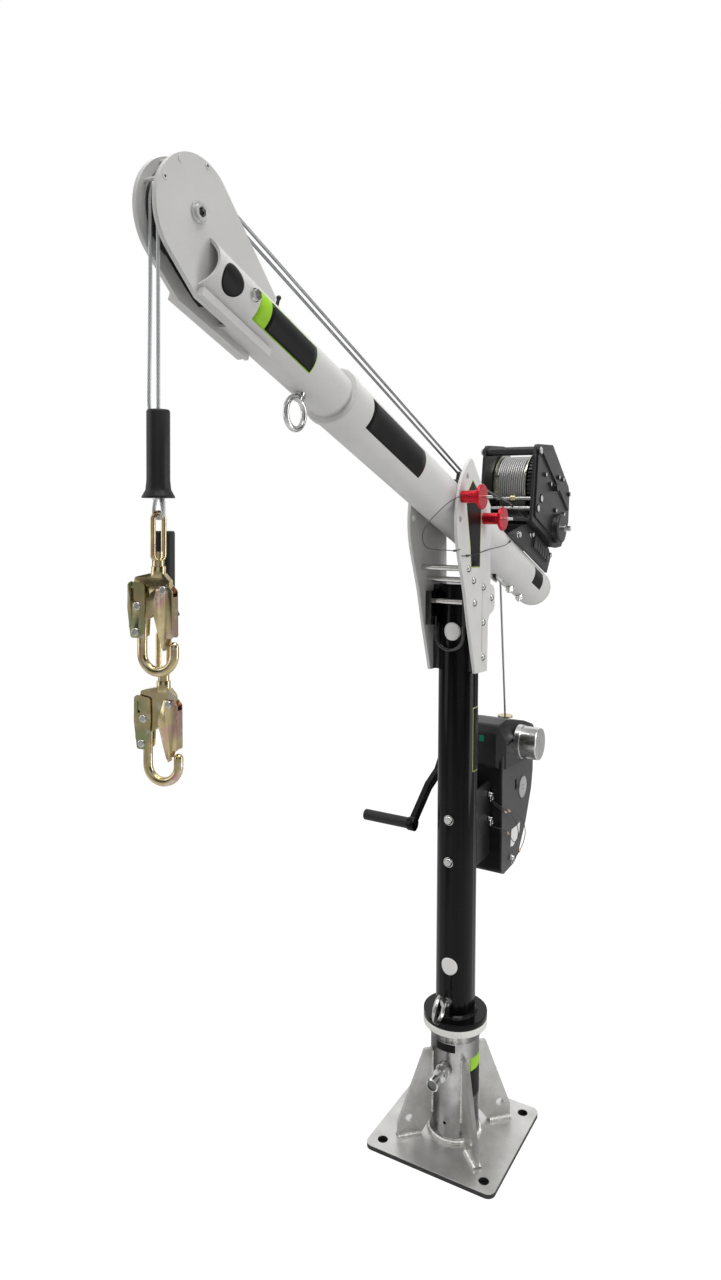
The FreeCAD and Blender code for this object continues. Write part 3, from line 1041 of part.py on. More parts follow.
# Lanyards of the bracket pins on the near side of the block
loop_route = [V(-126, 44, 836.3), V(-124, 60, 828), V(-134, 76, 814), V(-164, 82, 802), V(-194, 82, 782),
              V(-220, 82, 756), V(-238, 82, 728), V(-230, 81.5, 708), V(-206, 81, 706), V(-182, 81, 726),
              V(-158, 80, 750), V(-134, 76, 766), V(-124, 60, 770), V(-126, 44, 770.3)]
long_route = [V(-114.3, 44.5, 848), V(-112, 62, 840), V(-122, 80, 826), V(-150, 88, 812), V(-190, 89, 796),
              V(-232, 89, 772), V(-264, 89, 744), V(-276, 89, 714), V(-262, 88.5, 692), V(-238, 85, 672),
              V(-213.0, 79.3, 659.2)]
wires = [cord("srl_lanyards", path_edges(r), WIRE_R) for r in (loop_route, long_route)]
keep("srl_lanyards", Part.makeCompound(wires))


def in_plane(o, u, v, w=0.0):
    return o + U * u + Z * v + W * w


def slab(o, points, w0, w1, radius=0.0):
    """Plate along the hook's face normal from an outline in the hook's face."""
    pts = [in_plane(o, u, v, w0) for u, v in points]
    face = rounded_face(pts, radius) if radius else Part.Face(Part.makePolygon(pts + pts[:1]))
    return face.extrude(W * (w1 - w0))


def rope_end(tag, rope, line, bump_top):
    """Rope with its eye, bumper and link on the plumb line; gives the height of the hook's collar."""
    bump_low = bump_top - BUMPER_L
    o = V(line.x, line.y, bump_low - 22.0)
    side = tangent_spot(-5.0, 26.0, 0.0, 4.0, EYE_LOOP_R, -1)
    eye = [(-5.0, 26.0), side, (0.0, 4.0 - EYE_LOOP_R), (-side[0], side[1]), (5.0, 26.0)]
    spots = [in_plane(o, 0, v, w) for w, v in eye]
    loop = sweep([Part.makeLine(spots[0], spots[1]), Part.Arc(*spots[1:4]).toShape(),
                  Part.makeLine(spots[3], spots[4])], ROPE_R)
    clamp = cyl(in_plane(o, 0, 22.0), Z, 9.5, 12.0).cut(cyl(in_plane(o, 0, 32.0), Z, ROPE_R + TOUCH, 4.0))
    keep("rope_hang_" + tag, rope)
    loop.rotate(o, Z, LINK_TURN)
    keep("rope_eye_" + tag, fused([loop, clamp]))
    wall = [(ROPE_R + TOUCH, BUMPER_L), (BUMPER_R - 1.5, BUMPER_L), (BUMPER_R, BUMPER_L - 3), (BUMPER_R, 26),
            (BUMPER_R + 1.5, 12), (BUMPER_FLARE_R, 2), (BUMPER_FLARE_R, 0), (BUMPER_FLARE_R - 4, 0),
            (BUMPER_R - 3.5, 16), (BUMPER_R - 4, 22), (ROPE_R + TOUCH, 22)]
    ring = [V(line.x + r, line.y, bump_low + z) for r, z in wall + wall[:1]]
    keep("bumper_" + tag, Part.Face(Part.makePolygon(ring)).revolve(line, Z, 360))
    crown = 4.0 - EYE_LOOP_R + ROPE_R + TOUCH + LINK_WIRE_R
    c_top = crown - LINK_HALF_W
    c_low = c_top - (LINK_L - 2 * (LINK_HALF_W + LINK_WIRE_R))
    p = [in_plane(o, -LINK_HALF_W, c_top), in_plane(o, 0, crown), in_plane(o, LINK_HALF_W, c_top),
         in_plane(o, LINK_HALF_W, c_low), in_plane(o, 0, c_low - LINK_HALF_W), in_plane(o, -LINK_HALF_W, c_low)]
    link = sweep([Part.Arc(p[0], p[1], p[2]).toShape(), Part.makeLine(p[2], p[3]),
                  Part.Arc(p[3], p[4], p[5]).toShape(), Part.makeLine(p[5], p[0])], LINK_WIRE_R)
    link.rotate(o, Z, LINK_TURN)
    stud_top = c_low - LINK_HALF_W + LINK_WIRE_R
    flat = stud_top - 2 * LINK_WIRE_R - 4
    stud = [link, cyl(in_plane(o, 0, flat - 14), Z, STUD_R, 26),
            cyl(in_plane(o, 0, stud_top), Z, STUD_R + 2.2, 9),
            cyl(in_plane(o, 0, flat), Z, STUD_R + 3.4, 4 + LINK_WIRE_R)]
    keep("link_" + tag, fused(stud))
    return o.z + flat - FREE_GAP


def snap_hook(tag, line, collar_z):
    """Forged hook with a swivel collar, a channel gate and a lock lever."""
    h = V(line.x, line.y, collar_z - HOOK_H)
    back, tip_u, low_v = -26.5, 25.0, 33.0
    bow = Part.Arc(in_plane(h, back, low_v), in_plane(h, (back + tip_u) / 2, low_v - (tip_u - back) / 2),
                   in_plane(h, tip_u, low_v)).toShape()
    bar = sweep([Part.makeLine(in_plane(h, back, 112), in_plane(h, back, low_v)), bow,
                 Part.makeLine(in_plane(h, tip_u, low_v), in_plane(h, tip_u, 45))], HOOK_SECTION_R)
    tip = Part.makeSphere(HOOK_SECTION_R, in_plane(h, tip_u, 45))
    flat = [(-36, 146), (-10, 152), (10, 152), (20, 141), (21, 122), (8, 108), (-12, 86), (-33, 80), (-37, 110)]
    body = slab(h, flat, -HOOK_BODY_T / 2, HOOK_BODY_T / 2, 5.0)
    neck = cyl(in_plane(h, 0, HOOK_H - 16), Z, STUD_R + 5.5, 16.0)
    hook = fused([bar, tip, body, neck]).cut(cyl(in_plane(h, 0, HOOK_H - 32), Z, STUD_R + RUN_FIT, 40))
    gate_at, lever_at = (12.0, 128.0), (back - 5.8, 66.0)
    for u, v in (gate_at, lever_at):
        hook = hook.cut(cyl(in_plane(h, u, v, -20), W, RIVET_R + RUN_FIT, 40))
    keep("hook_" + tag, hook)
    g_in = HOOK_BODY_T / 2 + FREE_GAP
    g_out = g_in + GATE_T
    flank = [(4, 134), (20, 134), (27, 126), (27.5, 58), (17, 58), (11.4, 36), (5, 58), (-6, 100), (0, 126)]
    gate = [slab(h, flank, g_in, g_out, 3.0), slab(h, flank, -g_out, -g_in, 3.0),
            slab(h, [(24.5, 118), (27, 118), (27.4, 60), (24.5, 60)], -g_in, g_in),
            slab(h, [(7, 62), (15, 62), (10.8, 50), (10.4, 39), (8, 48)], -g_in, g_in),
            cyl(in_plane(h, gate_at[0], gate_at[1], -g_out), W, RIVET_R, 2 * g_out)]
    for s in (-1, 1):
        gate.append(dome_head(in_plane(h, gate_at[0], gate_at[1], s * g_out), W * s, RIVET_R + 2.8, 2.6))
    keep("gate_" + tag, fused(gate))
    l_in = HOOK_SECTION_R + FREE_GAP
    l_out = l_in + GATE_T
    flank = [(-45, 136), (-40, 140), (-18, 136), (-17, 104), (-20, 57), (-40, 57), (-45.5, 100)]
    lever = [slab(h, flank, l_in, l_out, 4.0), slab(h, flank, -l_out, -l_in, 4.0),
             slab(h, [(-45, 130), (-42, 130), (-42, 72), (-44, 72)], -l_in, l_in),
             cyl(in_plane(h, lever_at[0], lever_at[1], -l_out), W, RIVET_R, 2 * l_out)]
    for s in (-1, 1):
        for u, v in (lever_at, (-29.4, 104.0)):
            lever.append(dome_head(in_plane(h, u, v, s * l_out), W * s, RIVET_R + 2.8, 2.6))
    slot = slab(h, [(-39, 130), (-35, 130), (-35, 112), (-39, 112)], -2 * l_out, 2 * l_out)
    keep("lever_" + tag, fused(lever).cut(slot))


# Two rope ends: the near one plumb, the far one behind it
axle_c = local(SHEAVE_A, SHEAVE_N, 0)
hang_x = axle_c.x + SHEAVE_R
for tag, sy, hang in (("near", 1, HANG_NEAR), ("far", -1, HANG_FAR)):
    top = V(hang_x, sy * SHEAVE_Y, axle_c.z)
    bump_top = axle_c.z - hang
    line = V(top.x, top.y, 0)
    end_z = bump_top - BUMPER_L + 10.0
    route = [top, V(top.x, top.y, end_z)]
    if tag == "far":
        line = line + V(FAR_SHIFT[0], FAR_SHIFT[1], 0)
        behind = top + V(FAR_BOW[0], FAR_BOW[1], 5.0 - HANG_NEAR)
        route = [top, V(top.x, top.y, top.z - FAR_KINK), behind, V(line.x, line.y, bump_top + 54.0),
                 V(line.x, line.y, end_z)]
    rope = cord("rope_hang_" + tag, path_edges(route, ROPE_BEND), ROPE_R)
    collar_z = rope_end(tag, rope, line, bump_top)
    snap_hook(tag, line, collar_z)
    print(tag, [round(c, 2) for c in line], "bumper", round(bump_top, 2), "foot", round(collar_z - HOOK_H, 2))

for name, shape in NODES.items():
    shape.exportStep("parts/" + name + ".step")
print(len(NODES), "nodes; axle", [round(c, 3) for c in axle_c], "hang x", round(hang_x, 3))
print("pulley", [round(c, 3) for c in pulley_c], "drop top", [round(c, 3) for c in drop_top])
print("drum", [round(c, 3) for c in local(DRUM_A, DRUM_N, 0)])
print("drive", [round(c, 3) for c in local(DRIVE_A, DRIVE_N, 0)])
print("rope lay radius", round(lay_r, 3), "grip", [round(c, 3) for c in grip_at], "plunger z", PLUNGER_Z)
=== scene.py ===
import math

import bmesh
import bpy
from mathutils import Matrix, Vector


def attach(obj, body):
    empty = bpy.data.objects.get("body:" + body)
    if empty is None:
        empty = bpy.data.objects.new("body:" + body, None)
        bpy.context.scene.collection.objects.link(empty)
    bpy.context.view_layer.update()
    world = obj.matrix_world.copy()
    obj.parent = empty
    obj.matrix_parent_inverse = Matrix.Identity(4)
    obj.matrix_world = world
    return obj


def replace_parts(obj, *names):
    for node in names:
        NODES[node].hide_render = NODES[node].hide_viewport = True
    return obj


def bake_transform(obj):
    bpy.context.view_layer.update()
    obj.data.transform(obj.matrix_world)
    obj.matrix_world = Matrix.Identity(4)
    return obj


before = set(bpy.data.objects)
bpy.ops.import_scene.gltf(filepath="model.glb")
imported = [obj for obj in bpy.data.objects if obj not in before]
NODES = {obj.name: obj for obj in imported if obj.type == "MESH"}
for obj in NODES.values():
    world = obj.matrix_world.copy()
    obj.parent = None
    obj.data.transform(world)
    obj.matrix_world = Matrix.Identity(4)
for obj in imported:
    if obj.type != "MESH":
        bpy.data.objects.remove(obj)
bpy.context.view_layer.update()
scene = bpy.context.scene
scene.view_settings.view_transform = "Standard"

MM = 0.001
TILT = math.radians(21.1)
PIVOT = Vector((0, 0, 1.598))
ROPE_R = 3.0
WIRE_R = 1.1
X_WAY, Y_WAY, Z_WAY = (1, 0, 0), (0, 1, 0), (0, 0, 1)
# In the boom frame, in millimetres: places along and above the axis, and the ropes' way sideways
SHEAVE = (1136.0, 60.0)
DRUM = (-444, 268)
ROPE_Y = 7.5
# Plumb lines of the two rope ends, and the ways the hooks' edges and flat sides face
HEAD_X = 1108.235
PLUMB = {"near": (HEAD_X, ROPE_Y), "far": (1068.235, -19.6)}
HOOK_TURN = math.radians(14)
HOOK_SIDE = Vector((-math.sin(HOOK_TURN), math.cos(HOOK_TURN), 0))
HOOK_OUT = Vector((math.cos(HOOK_TURN), math.sin(HOOK_TURN), 0))


def boom(a, n, y):
    """Point of the boom frame in millimetres: along, above the axis, sideways."""
    c, s = math.cos(TILT), math.sin(TILT)
    return PIVOT + Vector((a * c - n * s, y, a * s + n * c)) * MM


def mm(x, y, z):
    return Vector((x, y, z)) * MM


def round_sheave(deg, radius, y):
    """Point at an angle round the head sheaves' axle."""
    t = math.radians(deg)
    return boom(SHEAVE[0] + radius * math.cos(t), SHEAVE[1] + radius * math.sin(t), y)


# Camera at the photograph's place, with the photograph's framing
cam_data = bpy.data.cameras.new("camera")
cam = bpy.data.objects.new("camera", cam_data)
scene.collection.objects.link(cam)
right = Vector((-0.5000101, 0.8660007, 0.0057147))
up = Vector((-0.0232988, -0.0200481, 0.9995275))
back = right.cross(up)
place = Matrix((right, up, back)).transposed().to_4x4()
place.translation = Vector((2.05999, 0.89628, 1.62136))
cam.matrix_world = place
PHOTO_W, PHOTO_H = 721, 1280
CENTRE_U, CENTRE_V, FOCAL = 360.6, 534.97, 872.796
SENSOR = 36.0
cam_data.sensor_width = SENSOR
cam_data.lens = FOCAL * SENSOR / PHOTO_H
cam_data.shift_x = (PHOTO_W / 2 - CENTRE_U) / PHOTO_H
cam_data.shift_y = (CENTRE_V - PHOTO_H / 2) / PHOTO_H
cam_data.clip_end = 100
scene.camera = cam


# Node helpers for the materials
def add(nt, kind, ins=None, **props):
    n = nt.nodes.new(kind)
    for k, v in props.items():
        setattr(n, k, v)
    for k, v in (ins or {}).items():
        if isinstance(v, bpy.types.NodeSocket):
            nt.links.new(v, n.inputs[k])
        else:
            n.inputs[k].default_value = v
    return n


def new_material(name):
    m = bpy.data.materials.new(name)
    m.use_nodes = True
    return m, m.node_tree, m.node_tree.nodes["Principled BSDF"]


def rgba(c):
    return (c[0], c[1], c[2], 1.0)


def noise(nt, at, scale, detail, rough):
    ins = {"Vector": at, "Scale": scale, "Detail": detail, "Roughness": rough}
    return add(nt, "ShaderNodeTexNoise", ins).outputs["Fac"]


def spread(nt, value, lo, hi, out_lo, out_hi):
    ins = {"Value": value, "From Min": lo, "From Max": hi, "To Min": out_lo, "To Max": out_hi}
    return add(nt, "ShaderNodeMapRange", ins).outputs["Result"]


def math_node(nt, operation, first, second=0.0):
    return add(nt, "ShaderNodeMath", {0: first, 1: second}, operation=operation).outputs[0]


def dot(nt, first, second):
    n = add(nt, "ShaderNodeVectorMath", {0: first, 1: second}, operation="DOT_PRODUCT")
    return n.outputs["Value"]


def coords(nt, output="Object"):
    return add(nt, "ShaderNodeTexCoord").outputs[output]


def blend(nt, fac, first, second, kind):
    """Mix of two colours or two values, each a socket or a constant."""
    n = add(nt, "ShaderNodeMix", data_type=kind)
    low, out = (6, 2) if kind == "RGBA" else (2, 0)
    for sock, v in ((n.inputs[0], fac), (n.inputs[low], first), (n.inputs[low + 1], second)):
        if isinstance(v, bpy.types.NodeSocket):
            nt.links.new(v, sock)
        else:
            sock.default_value = v
    return n.outputs[out]


# Effects that several finishes share, each a node group
def effect(name, ins, outs):
    tree = bpy.data.node_groups.new(name, "ShaderNodeTree")
    kinds = {"c": "NodeSocketColor", "v": "NodeSocketVector", "f": "NodeSocketFloat"}
    for label, kind in ins:
        tree.interface.new_socket(label, in_out="INPUT", socket_type=kinds[kind])
    for label, kind in outs:
        tree.interface.new_socket(label, in_out="OUTPUT", socket_type=kinds[kind])
    return tree, tree.nodes.new("NodeGroupInput").outputs, tree.nodes.new("NodeGroupOutput").inputs


def tone_and_grain_effect():
    """Broad changes of tone, and a fine grain that also drives roughness and bump."""
    ins = [("Low", "c"), ("High", "c"), ("Blotch", "f"), ("Grain", "f"), ("Stretch", "v"),
           ("Smooth", "f"), ("Rough", "f")]
    outs = [("Color", "c"), ("Roughness", "f"), ("Height", "f")]
    nt, i, o = effect("tone_and_grain", ins, outs)
    at = coords(nt)
    stretched = add(nt, "ShaderNodeVectorMath", {0: at, 1: i["Stretch"]}, operation="MULTIPLY")
    broad = noise(nt, at, i["Blotch"], 5.0, 0.6)
    fine = noise(nt, stretched.outputs[0], i["Grain"], 3.0, 0.6)
    colour = blend(nt, spread(nt, broad, 0.3, 0.7, 0.0, 1.0), i["Low"], i["High"], "RGBA")
    shade = spread(nt, fine, 0.25, 0.75, 0.93, 1.05)
    shaded = add(nt, "ShaderNodeVectorMath", {0: colour, "Scale": shade}, operation="SCALE")
    both = blend(nt, 0.35, fine, broad, "FLOAT")
    nt.links.new(shaded.outputs[0], o["Color"])
    nt.links.new(spread(nt, both, 0.3, 0.7, i["Smooth"], i["Rough"]), o["Roughness"])
    nt.links.new(fine, o["Height"])
    return nt


def patches_effect():
    """Patches of a second colour where a noise lies above a threshold."""
    ins = [("Color", "c"), ("Patch", "c"), ("Scale", "f"), ("From", "f"), ("To", "f"),
           ("Shift", "v")]
    nt, i, o = effect("colour_patches", ins, [("Color", "c")])
    moved = add(nt, "ShaderNodeVectorMath", {0: coords(nt), 1: i["Shift"]}, operation="ADD")
    cloud = noise(nt, moved.outputs[0], i["Scale"], 3.0, 0.5)
    part = spread(nt, cloud, i["From"], i["To"], 0.0, 1.0)
    nt.links.new(blend(nt, part, i["Color"], i["Patch"], "RGBA"), o["Color"])
    return nt


def spot_effect():
    """One within a radius of a centre, else zero."""
    nt, i, o = effect("spot_mask", [("Centre", "v"), ("Radius", "f")], [("Mask", "f")])
    far = add(nt, "ShaderNodeVectorMath", {0: coords(nt), 1: i["Centre"]}, operation="DISTANCE")
    nt.links.new(math_node(nt, "LESS_THAN", far.outputs["Value"], i["Radius"]), o["Mask"])
    return nt


def side_effect():
    """One beyond a limit along a direction, else zero."""
    nt, i, o = effect("side_mask", [("Direction", "v"), ("Limit", "f")], [("Mask", "f")])
    far = dot(nt, coords(nt), i["Direction"])
    nt.links.new(math_node(nt, "GREATER_THAN", far, i["Limit"]), o["Mask"])
    return nt


def rising_effect(name):
    return effect(name, [("Direction", "v"), ("From", "f"), ("To", "f")], [("Mask", "f")])


def fade_effect():
    """Rises from zero to one with the distance to both sides of a plane through the origin."""
    nt, i, o = rising_effect("fade_mask")
    far = math_node(nt, "ABSOLUTE", dot(nt, coords(nt), i["Direction"]))
    nt.links.new(spread(nt, far, i["From"], i["To"], 0.0, 1.0), o["Mask"])
    return nt


def lean_effect():
    """Rises from zero to one where the surface leans along a direction."""
    nt, i, o = rising_effect("lean_mask")
    lean = dot(nt, coords(nt, "Normal"), i["Direction"])
    nt.links.new(spread(nt, lean, i["From"], i["To"], 0.0, 1.0), o["Mask"])
    return nt


TONE, PATCH = tone_and_grain_effect(), patches_effect()
SPOT, SIDE, FADE, LEAN = spot_effect(), side_effect(), fade_effect(), lean_effect()


def toned(nt, f):
    ins = {"Low": rgba(f["low"]), "High": rgba(f["high"]), "Smooth": f["rough"][0],
           "Rough": f["rough"][1], "Blotch": f.get("blotch", 30.0), "Grain": f.get("grain", 900.0),
           "Stretch": f.get("stretch", (1, 1, 1))}
    return add(nt, "ShaderNodeGroup", ins, node_tree=TONE).outputs


def bumped(nt, b, height, f):
    ins = {"Height": height, "Strength": f.get("bump", 0.12), "Distance": f.get("deep", 0.0003)}
    nt.links.new(add(nt, "ShaderNodeBump", ins).outputs["Normal"], b.inputs["Normal"])


def patched(nt, colour, patches):
    """The colour with patches of other colours on it, each at its own place in the noise."""
    for k, (c, scale, lo, hi) in enumerate(patches):
        ins = {"Color": colour, "Patch": rgba(c), "Scale": scale, "From": lo, "To": hi,
               "Shift": (0.37 * k, 0.61 * k + 0.2, 0.13)}
        colour = add(nt, "ShaderNodeGroup", ins, node_tree=PATCH).outputs["Color"]
    return colour


def finish(name, **f):
    """Material of one finish, with optional patches of other colours."""
    m, nt, b = new_material(name)
    base = toned(nt, f)
    colour = patched(nt, base["Color"], f.get("patches", ()))
    nt.links.new(colour, b.inputs["Base Color"])
    nt.links.new(base["Roughness"], b.inputs["Roughness"])
    bumped(nt, b, base["Height"], f)
    b.inputs["Metallic"].default_value = f.get("metal", 0.0)
    b.inputs["Specular IOR Level"].default_value = f.get("spec", 0.5)
    b.inputs["Coat Weight"].default_value = f.get("coat", 0.0)
    b.inputs["Coat Roughness"].default_value = 0.12
    return m


def joined(name, first, *others):
    """Material of several finishes; each later one shows where its mask is one."""
    m, nt, b = new_material(name)
    base = toned(nt, first)
    colour, rough, metal = base["Color"], base["Roughness"], first["metal"]
    mixed = any(f["metal"] != metal for f, _ in others)
    for f, mask in others:
        fac, part = mask(nt), toned(nt, f)
        colour = blend(nt, fac, colour, part["Color"], "RGBA")
        rough = blend(nt, fac, rough, part["Roughness"], "FLOAT")
        if mixed:
            metal = blend(nt, fac, metal, f["metal"], "FLOAT")
    nt.links.new(colour, b.inputs["Base Color"])
    nt.links.new(rough, b.inputs["Roughness"])
    if isinstance(metal, bpy.types.NodeSocket):
        nt.links.new(metal, b.inputs["Metallic"])
    else:
        b.inputs["Metallic"].default_value = metal
    bumped(nt, b, base["Height"], first)
    return m


# Masks for joined finishes
def group_mask(tree, **ins):
    return lambda nt: add(nt, "ShaderNodeGroup", ins, node_tree=tree).outputs["Mask"]


def spots(centres, radius):
    hits = [group_mask(SPOT, Centre=tuple(c), Radius=radius) for c in centres]

    def mask(nt):
        out = hits[0](nt)
        for hit in hits[1:]:
            out = math_node(nt, "MAXIMUM", out, hit(nt))
        return out
    return mask


def beyond(direction, limit):
    return group_mask(SIDE, Direction=direction, Limit=limit)


def graded(tree, direction, lo, hi):
    return group_mask(tree, Direction=direction, From=lo, To=hi)


def both_of(first, second):
    return lambda nt: math_node(nt, "MULTIPLY", first(nt), second(nt))


def other_than(first):
    return lambda nt: math_node(nt, "SUBTRACT", 1.0, first(nt))


# Values of the finishes
STEEL = dict(low=(0.46, 0.46, 0.45), high=(0.68, 0.68, 0.66), rough=(0.16, 0.32), metal=1.0,
             blotch=60.0)
BRIGHT = dict(low=(0.56, 0.56, 0.55), high=(0.8, 0.8, 0.78), rough=(0.1, 0.24), metal=1.0,
              blotch=60.0)
BRUSHED = dict(low=(0.56, 0.555, 0.54), high=(0.78, 0.775, 0.76), rough=(0.3, 0.46), metal=1.0,
               blotch=13.0, grain=60.0, stretch=(34.0, 3.0, 34.0), bump=0.16)
ROLLED = dict(low=(0.36, 0.355, 0.35), high=(0.7, 0.695, 0.68), rough=(0.16, 0.28), metal=1.0,
              blotch=15.0, grain=60.0, stretch=(30.0, 30.0, 3.0), bump=0.16)
BOLT = dict(low=(0.5, 0.5, 0.49), high=(0.72, 0.72, 0.7), rough=(0.16, 0.3), metal=1.0, blotch=90.0)
# Two dark finishes used only for painted shade and painted dark reflections, one metal, one matte
PAINTED_SHADE_METAL = dict(low=(0.02, 0.02, 0.02), high=(0.06, 0.06, 0.058), rough=(0.2, 0.34), metal=1.0,
            blotch=40.0)
PAINTED_SHADE_MATTE = dict(low=(0.012, 0.012, 0.012), high=(0.035, 0.034, 0.033), rough=(0.45, 0.65), metal=0.0,
            blotch=40.0)
COAT = dict(low=(0.007, 0.007, 0.0075), high=(0.016, 0.016, 0.017), rough=(0.28, 0.46), metal=0.0,
            blotch=25.0, grain=650.0, bump=0.3, deep=0.0004)
GOLD = dict(low=(0.5, 0.43, 0.25), high=(0.7, 0.64, 0.44), rough=(0.2, 0.36), metal=1.0,
            blotch=40.0)
ZINC = dict(low=(0.46, 0.37, 0.18), high=(0.78, 0.66, 0.38), rough=(0.12, 0.26), metal=1.0,
            blotch=26.0, grain=700.0, bump=0.2)
PAINT = dict(low=(0.56, 0.555, 0.545), high=(0.63, 0.625, 0.615), rough=(0.32, 0.5), metal=0.0,
             spec=0.4, blotch=5.0, grain=520.0, bump=0.09, deep=0.0002)
RED = dict(low=(0.5, 0.012, 0.026), high=(0.66, 0.022, 0.04), rough=(0.2, 0.34), metal=0.8,
           blotch=40.0, stretch=(1.0, 0.2, 1.0))
VINYL = dict(rough=(0.36, 0.5), spec=0.14, blotch=25.0, grain=1500.0, bump=0.08)

# Where one finish of a piece ends and the next begins, in metres
PLATE_PAINTED_SHADE_TOP, SLEEVE_BOSS, SLEEVE_COLLAR = 0.0108, 0.0655, 0.2652
HEAD_BOLTS, BLOCK_PINS, DRUM_GEAR, PIN_BUTTON = 0.064, 0.0363, 0.0303, 0.1201
SADDLE_BOLT_R, COVER_NUT_R, TOP_BAR_R, ROD_RING_R = 0.0105, 0.0082, 0.02, 0.0125
AXLE_R, SOCKET_R, SCREW_R, RIVET_R, KNOB_R, STOP_R = 0.03, 0.0078, 0.0021, 0.0061, 0.0128, 0.03

# The base plate's sides, below its top face, carry painted shade
plate_steel = joined("plate_steel", BRUSHED, (PAINTED_SHADE_MATTE, other_than(beyond(Z_WAY, PLATE_PAINTED_SHADE_TOP))))
gusset_steel = finish("gusset_steel", **dict(
    BRUSHED, low=(0.5, 0.495, 0.48), high=(0.7, 0.695, 0.68), stretch=(30.0, 30.0, 3.0),
    patches=[((0.36, 0.35, 0.33), 240, 0.63, 0.78)]))
# The sleeve's sides across the line of sight, and the collar's, are painted dark: painted dark
# reflections
ACROSS = (-0.5, 0.866, 0.0)
COLLAR_PAINTED_SHADE = both_of(beyond(Z_WAY, SLEEVE_COLLAR), graded(FADE, ACROSS, 0.012, 0.05))
sleeve_steel = joined("sleeve_steel", ROLLED, (PAINTED_SHADE_METAL, graded(FADE, ACROSS, 0.014, 0.064)),
                      (BRIGHT, beyond(X_WAY, SLEEVE_BOSS)), (PAINTED_SHADE_METAL, COLLAR_PAINTED_SHADE))
bead_steel = finish("bead_steel", low=(0.62, 0.61, 0.58), high=(0.86, 0.85, 0.82),
                    rough=(0.22, 0.42), metal=0.85, blotch=120.0, grain=700.0, bump=0.3,
                    patches=[((0.5, 0.44, 0.38), 60, 0.6, 0.74)])
white_plastic = finish("white_plastic", low=(0.74, 0.73, 0.69), high=(0.82, 0.81, 0.77),
                       rough=(0.35, 0.55), blotch=20.0, grain=700.0, bump=0.06)
black_gloss = finish("black_gloss", low=(0.0025, 0.0025, 0.003), high=(0.0055, 0.0055, 0.006),
                     rough=(0.14, 0.24), spec=0.16, blotch=6.0, grain=420.0, bump=0.05, deep=0.0002)
boom_white = finish("boom_white", **dict(PAINT, patches=[((0.45, 0.44, 0.42), 700, 0.7, 0.8)]))
bright_steel = finish("bright_steel", **BRIGHT)
SPACER = dict(low=(0.6, 0.59, 0.56), high=(0.82, 0.81, 0.78), rough=(0.14, 0.28), metal=1.0,
              blotch=60.0)
# Painted shade on the side of the near head-plate bolt heads that faces down
BOLT_PAINTED_SHADE = graded(LEAN, (-0.6, 0.0, -0.8), 0.0, 0.14)
NEAR_BOLTS, FAR_BOLTS = beyond(Y_WAY, HEAD_BOLTS), beyond((0, -1, 0), HEAD_BOLTS)
spacer_mixed = joined("spacer_mixed", SPACER, (BOLT, NEAR_BOLTS), (BOLT, FAR_BOLTS),
                      (PAINTED_SHADE_METAL, both_of(NEAR_BOLTS, BOLT_PAINTED_SHADE)))
# Painted shade on the lower side of the mast's bolt heads
mast_bolts = joined("mast_bolts", BOLT, (PAINTED_SHADE_METAL, graded(LEAN, (-0.2, 0.5, -0.84), 0.0, 0.2)))
# Painted dark reflection on the end face of the plunger's knob
KNOB_END = spots([mm(140.5, 0.0, 199.0)], KNOB_R)
KNOB_PAINTED_REFLECTION = dict(PAINTED_SHADE_METAL, low=(0.1, 0.1, 0.1), high=(0.2, 0.2, 0.195))
plunger_steel = joined("plunger_steel", BRIGHT, (KNOB_PAINTED_REFLECTION, KNOB_END))
hoop_gloss = finish("hoop_gloss", low=(0.004, 0.004, 0.0045), high=(0.009, 0.009, 0.0095),
                    rough=(0.1, 0.2), spec=0.5, coat=0.7, blotch=20.0, grain=600.0, bump=0.1)
winch_coat = finish("winch_coat", **COAT, spec=0.4)
moulded = finish("moulded", low=(0.009, 0.009, 0.0095), high=(0.019, 0.019, 0.02),
                 rough=(0.32, 0.5), spec=0.4, blotch=18.0, grain=1400.0, bump=0.4)
case_coat = finish("case_coat", low=(0.004, 0.004, 0.0045), high=(0.009, 0.009, 0.0095),
                   rough=(0.3, 0.48), spec=0.3, blotch=18.0, grain=1200.0, bump=0.3)
side_cover = finish("side_cover", low=(0.032, 0.032, 0.033), high=(0.054, 0.054, 0.055),
                    rough=(0.32, 0.5), spec=0.4, blotch=14.0, bump=0.2)
silver = finish("silver", low=(0.6, 0.6, 0.6), high=(0.8, 0.8, 0.79), rough=(0.12, 0.26), metal=1.0,
                grain=90.0, stretch=(40.0, 2.0, 40.0))
sheave_black = finish("sheave_black", low=(0.02, 0.02, 0.021), high=(0.05, 0.05, 0.051),
                      rough=(0.35, 0.55), blotch=50.0, bump=0.2)
brass = finish("brass", low=(0.55, 0.44, 0.24), high=(0.74, 0.64, 0.42), rough=(0.18, 0.34),
               metal=1.0, blotch=60.0)
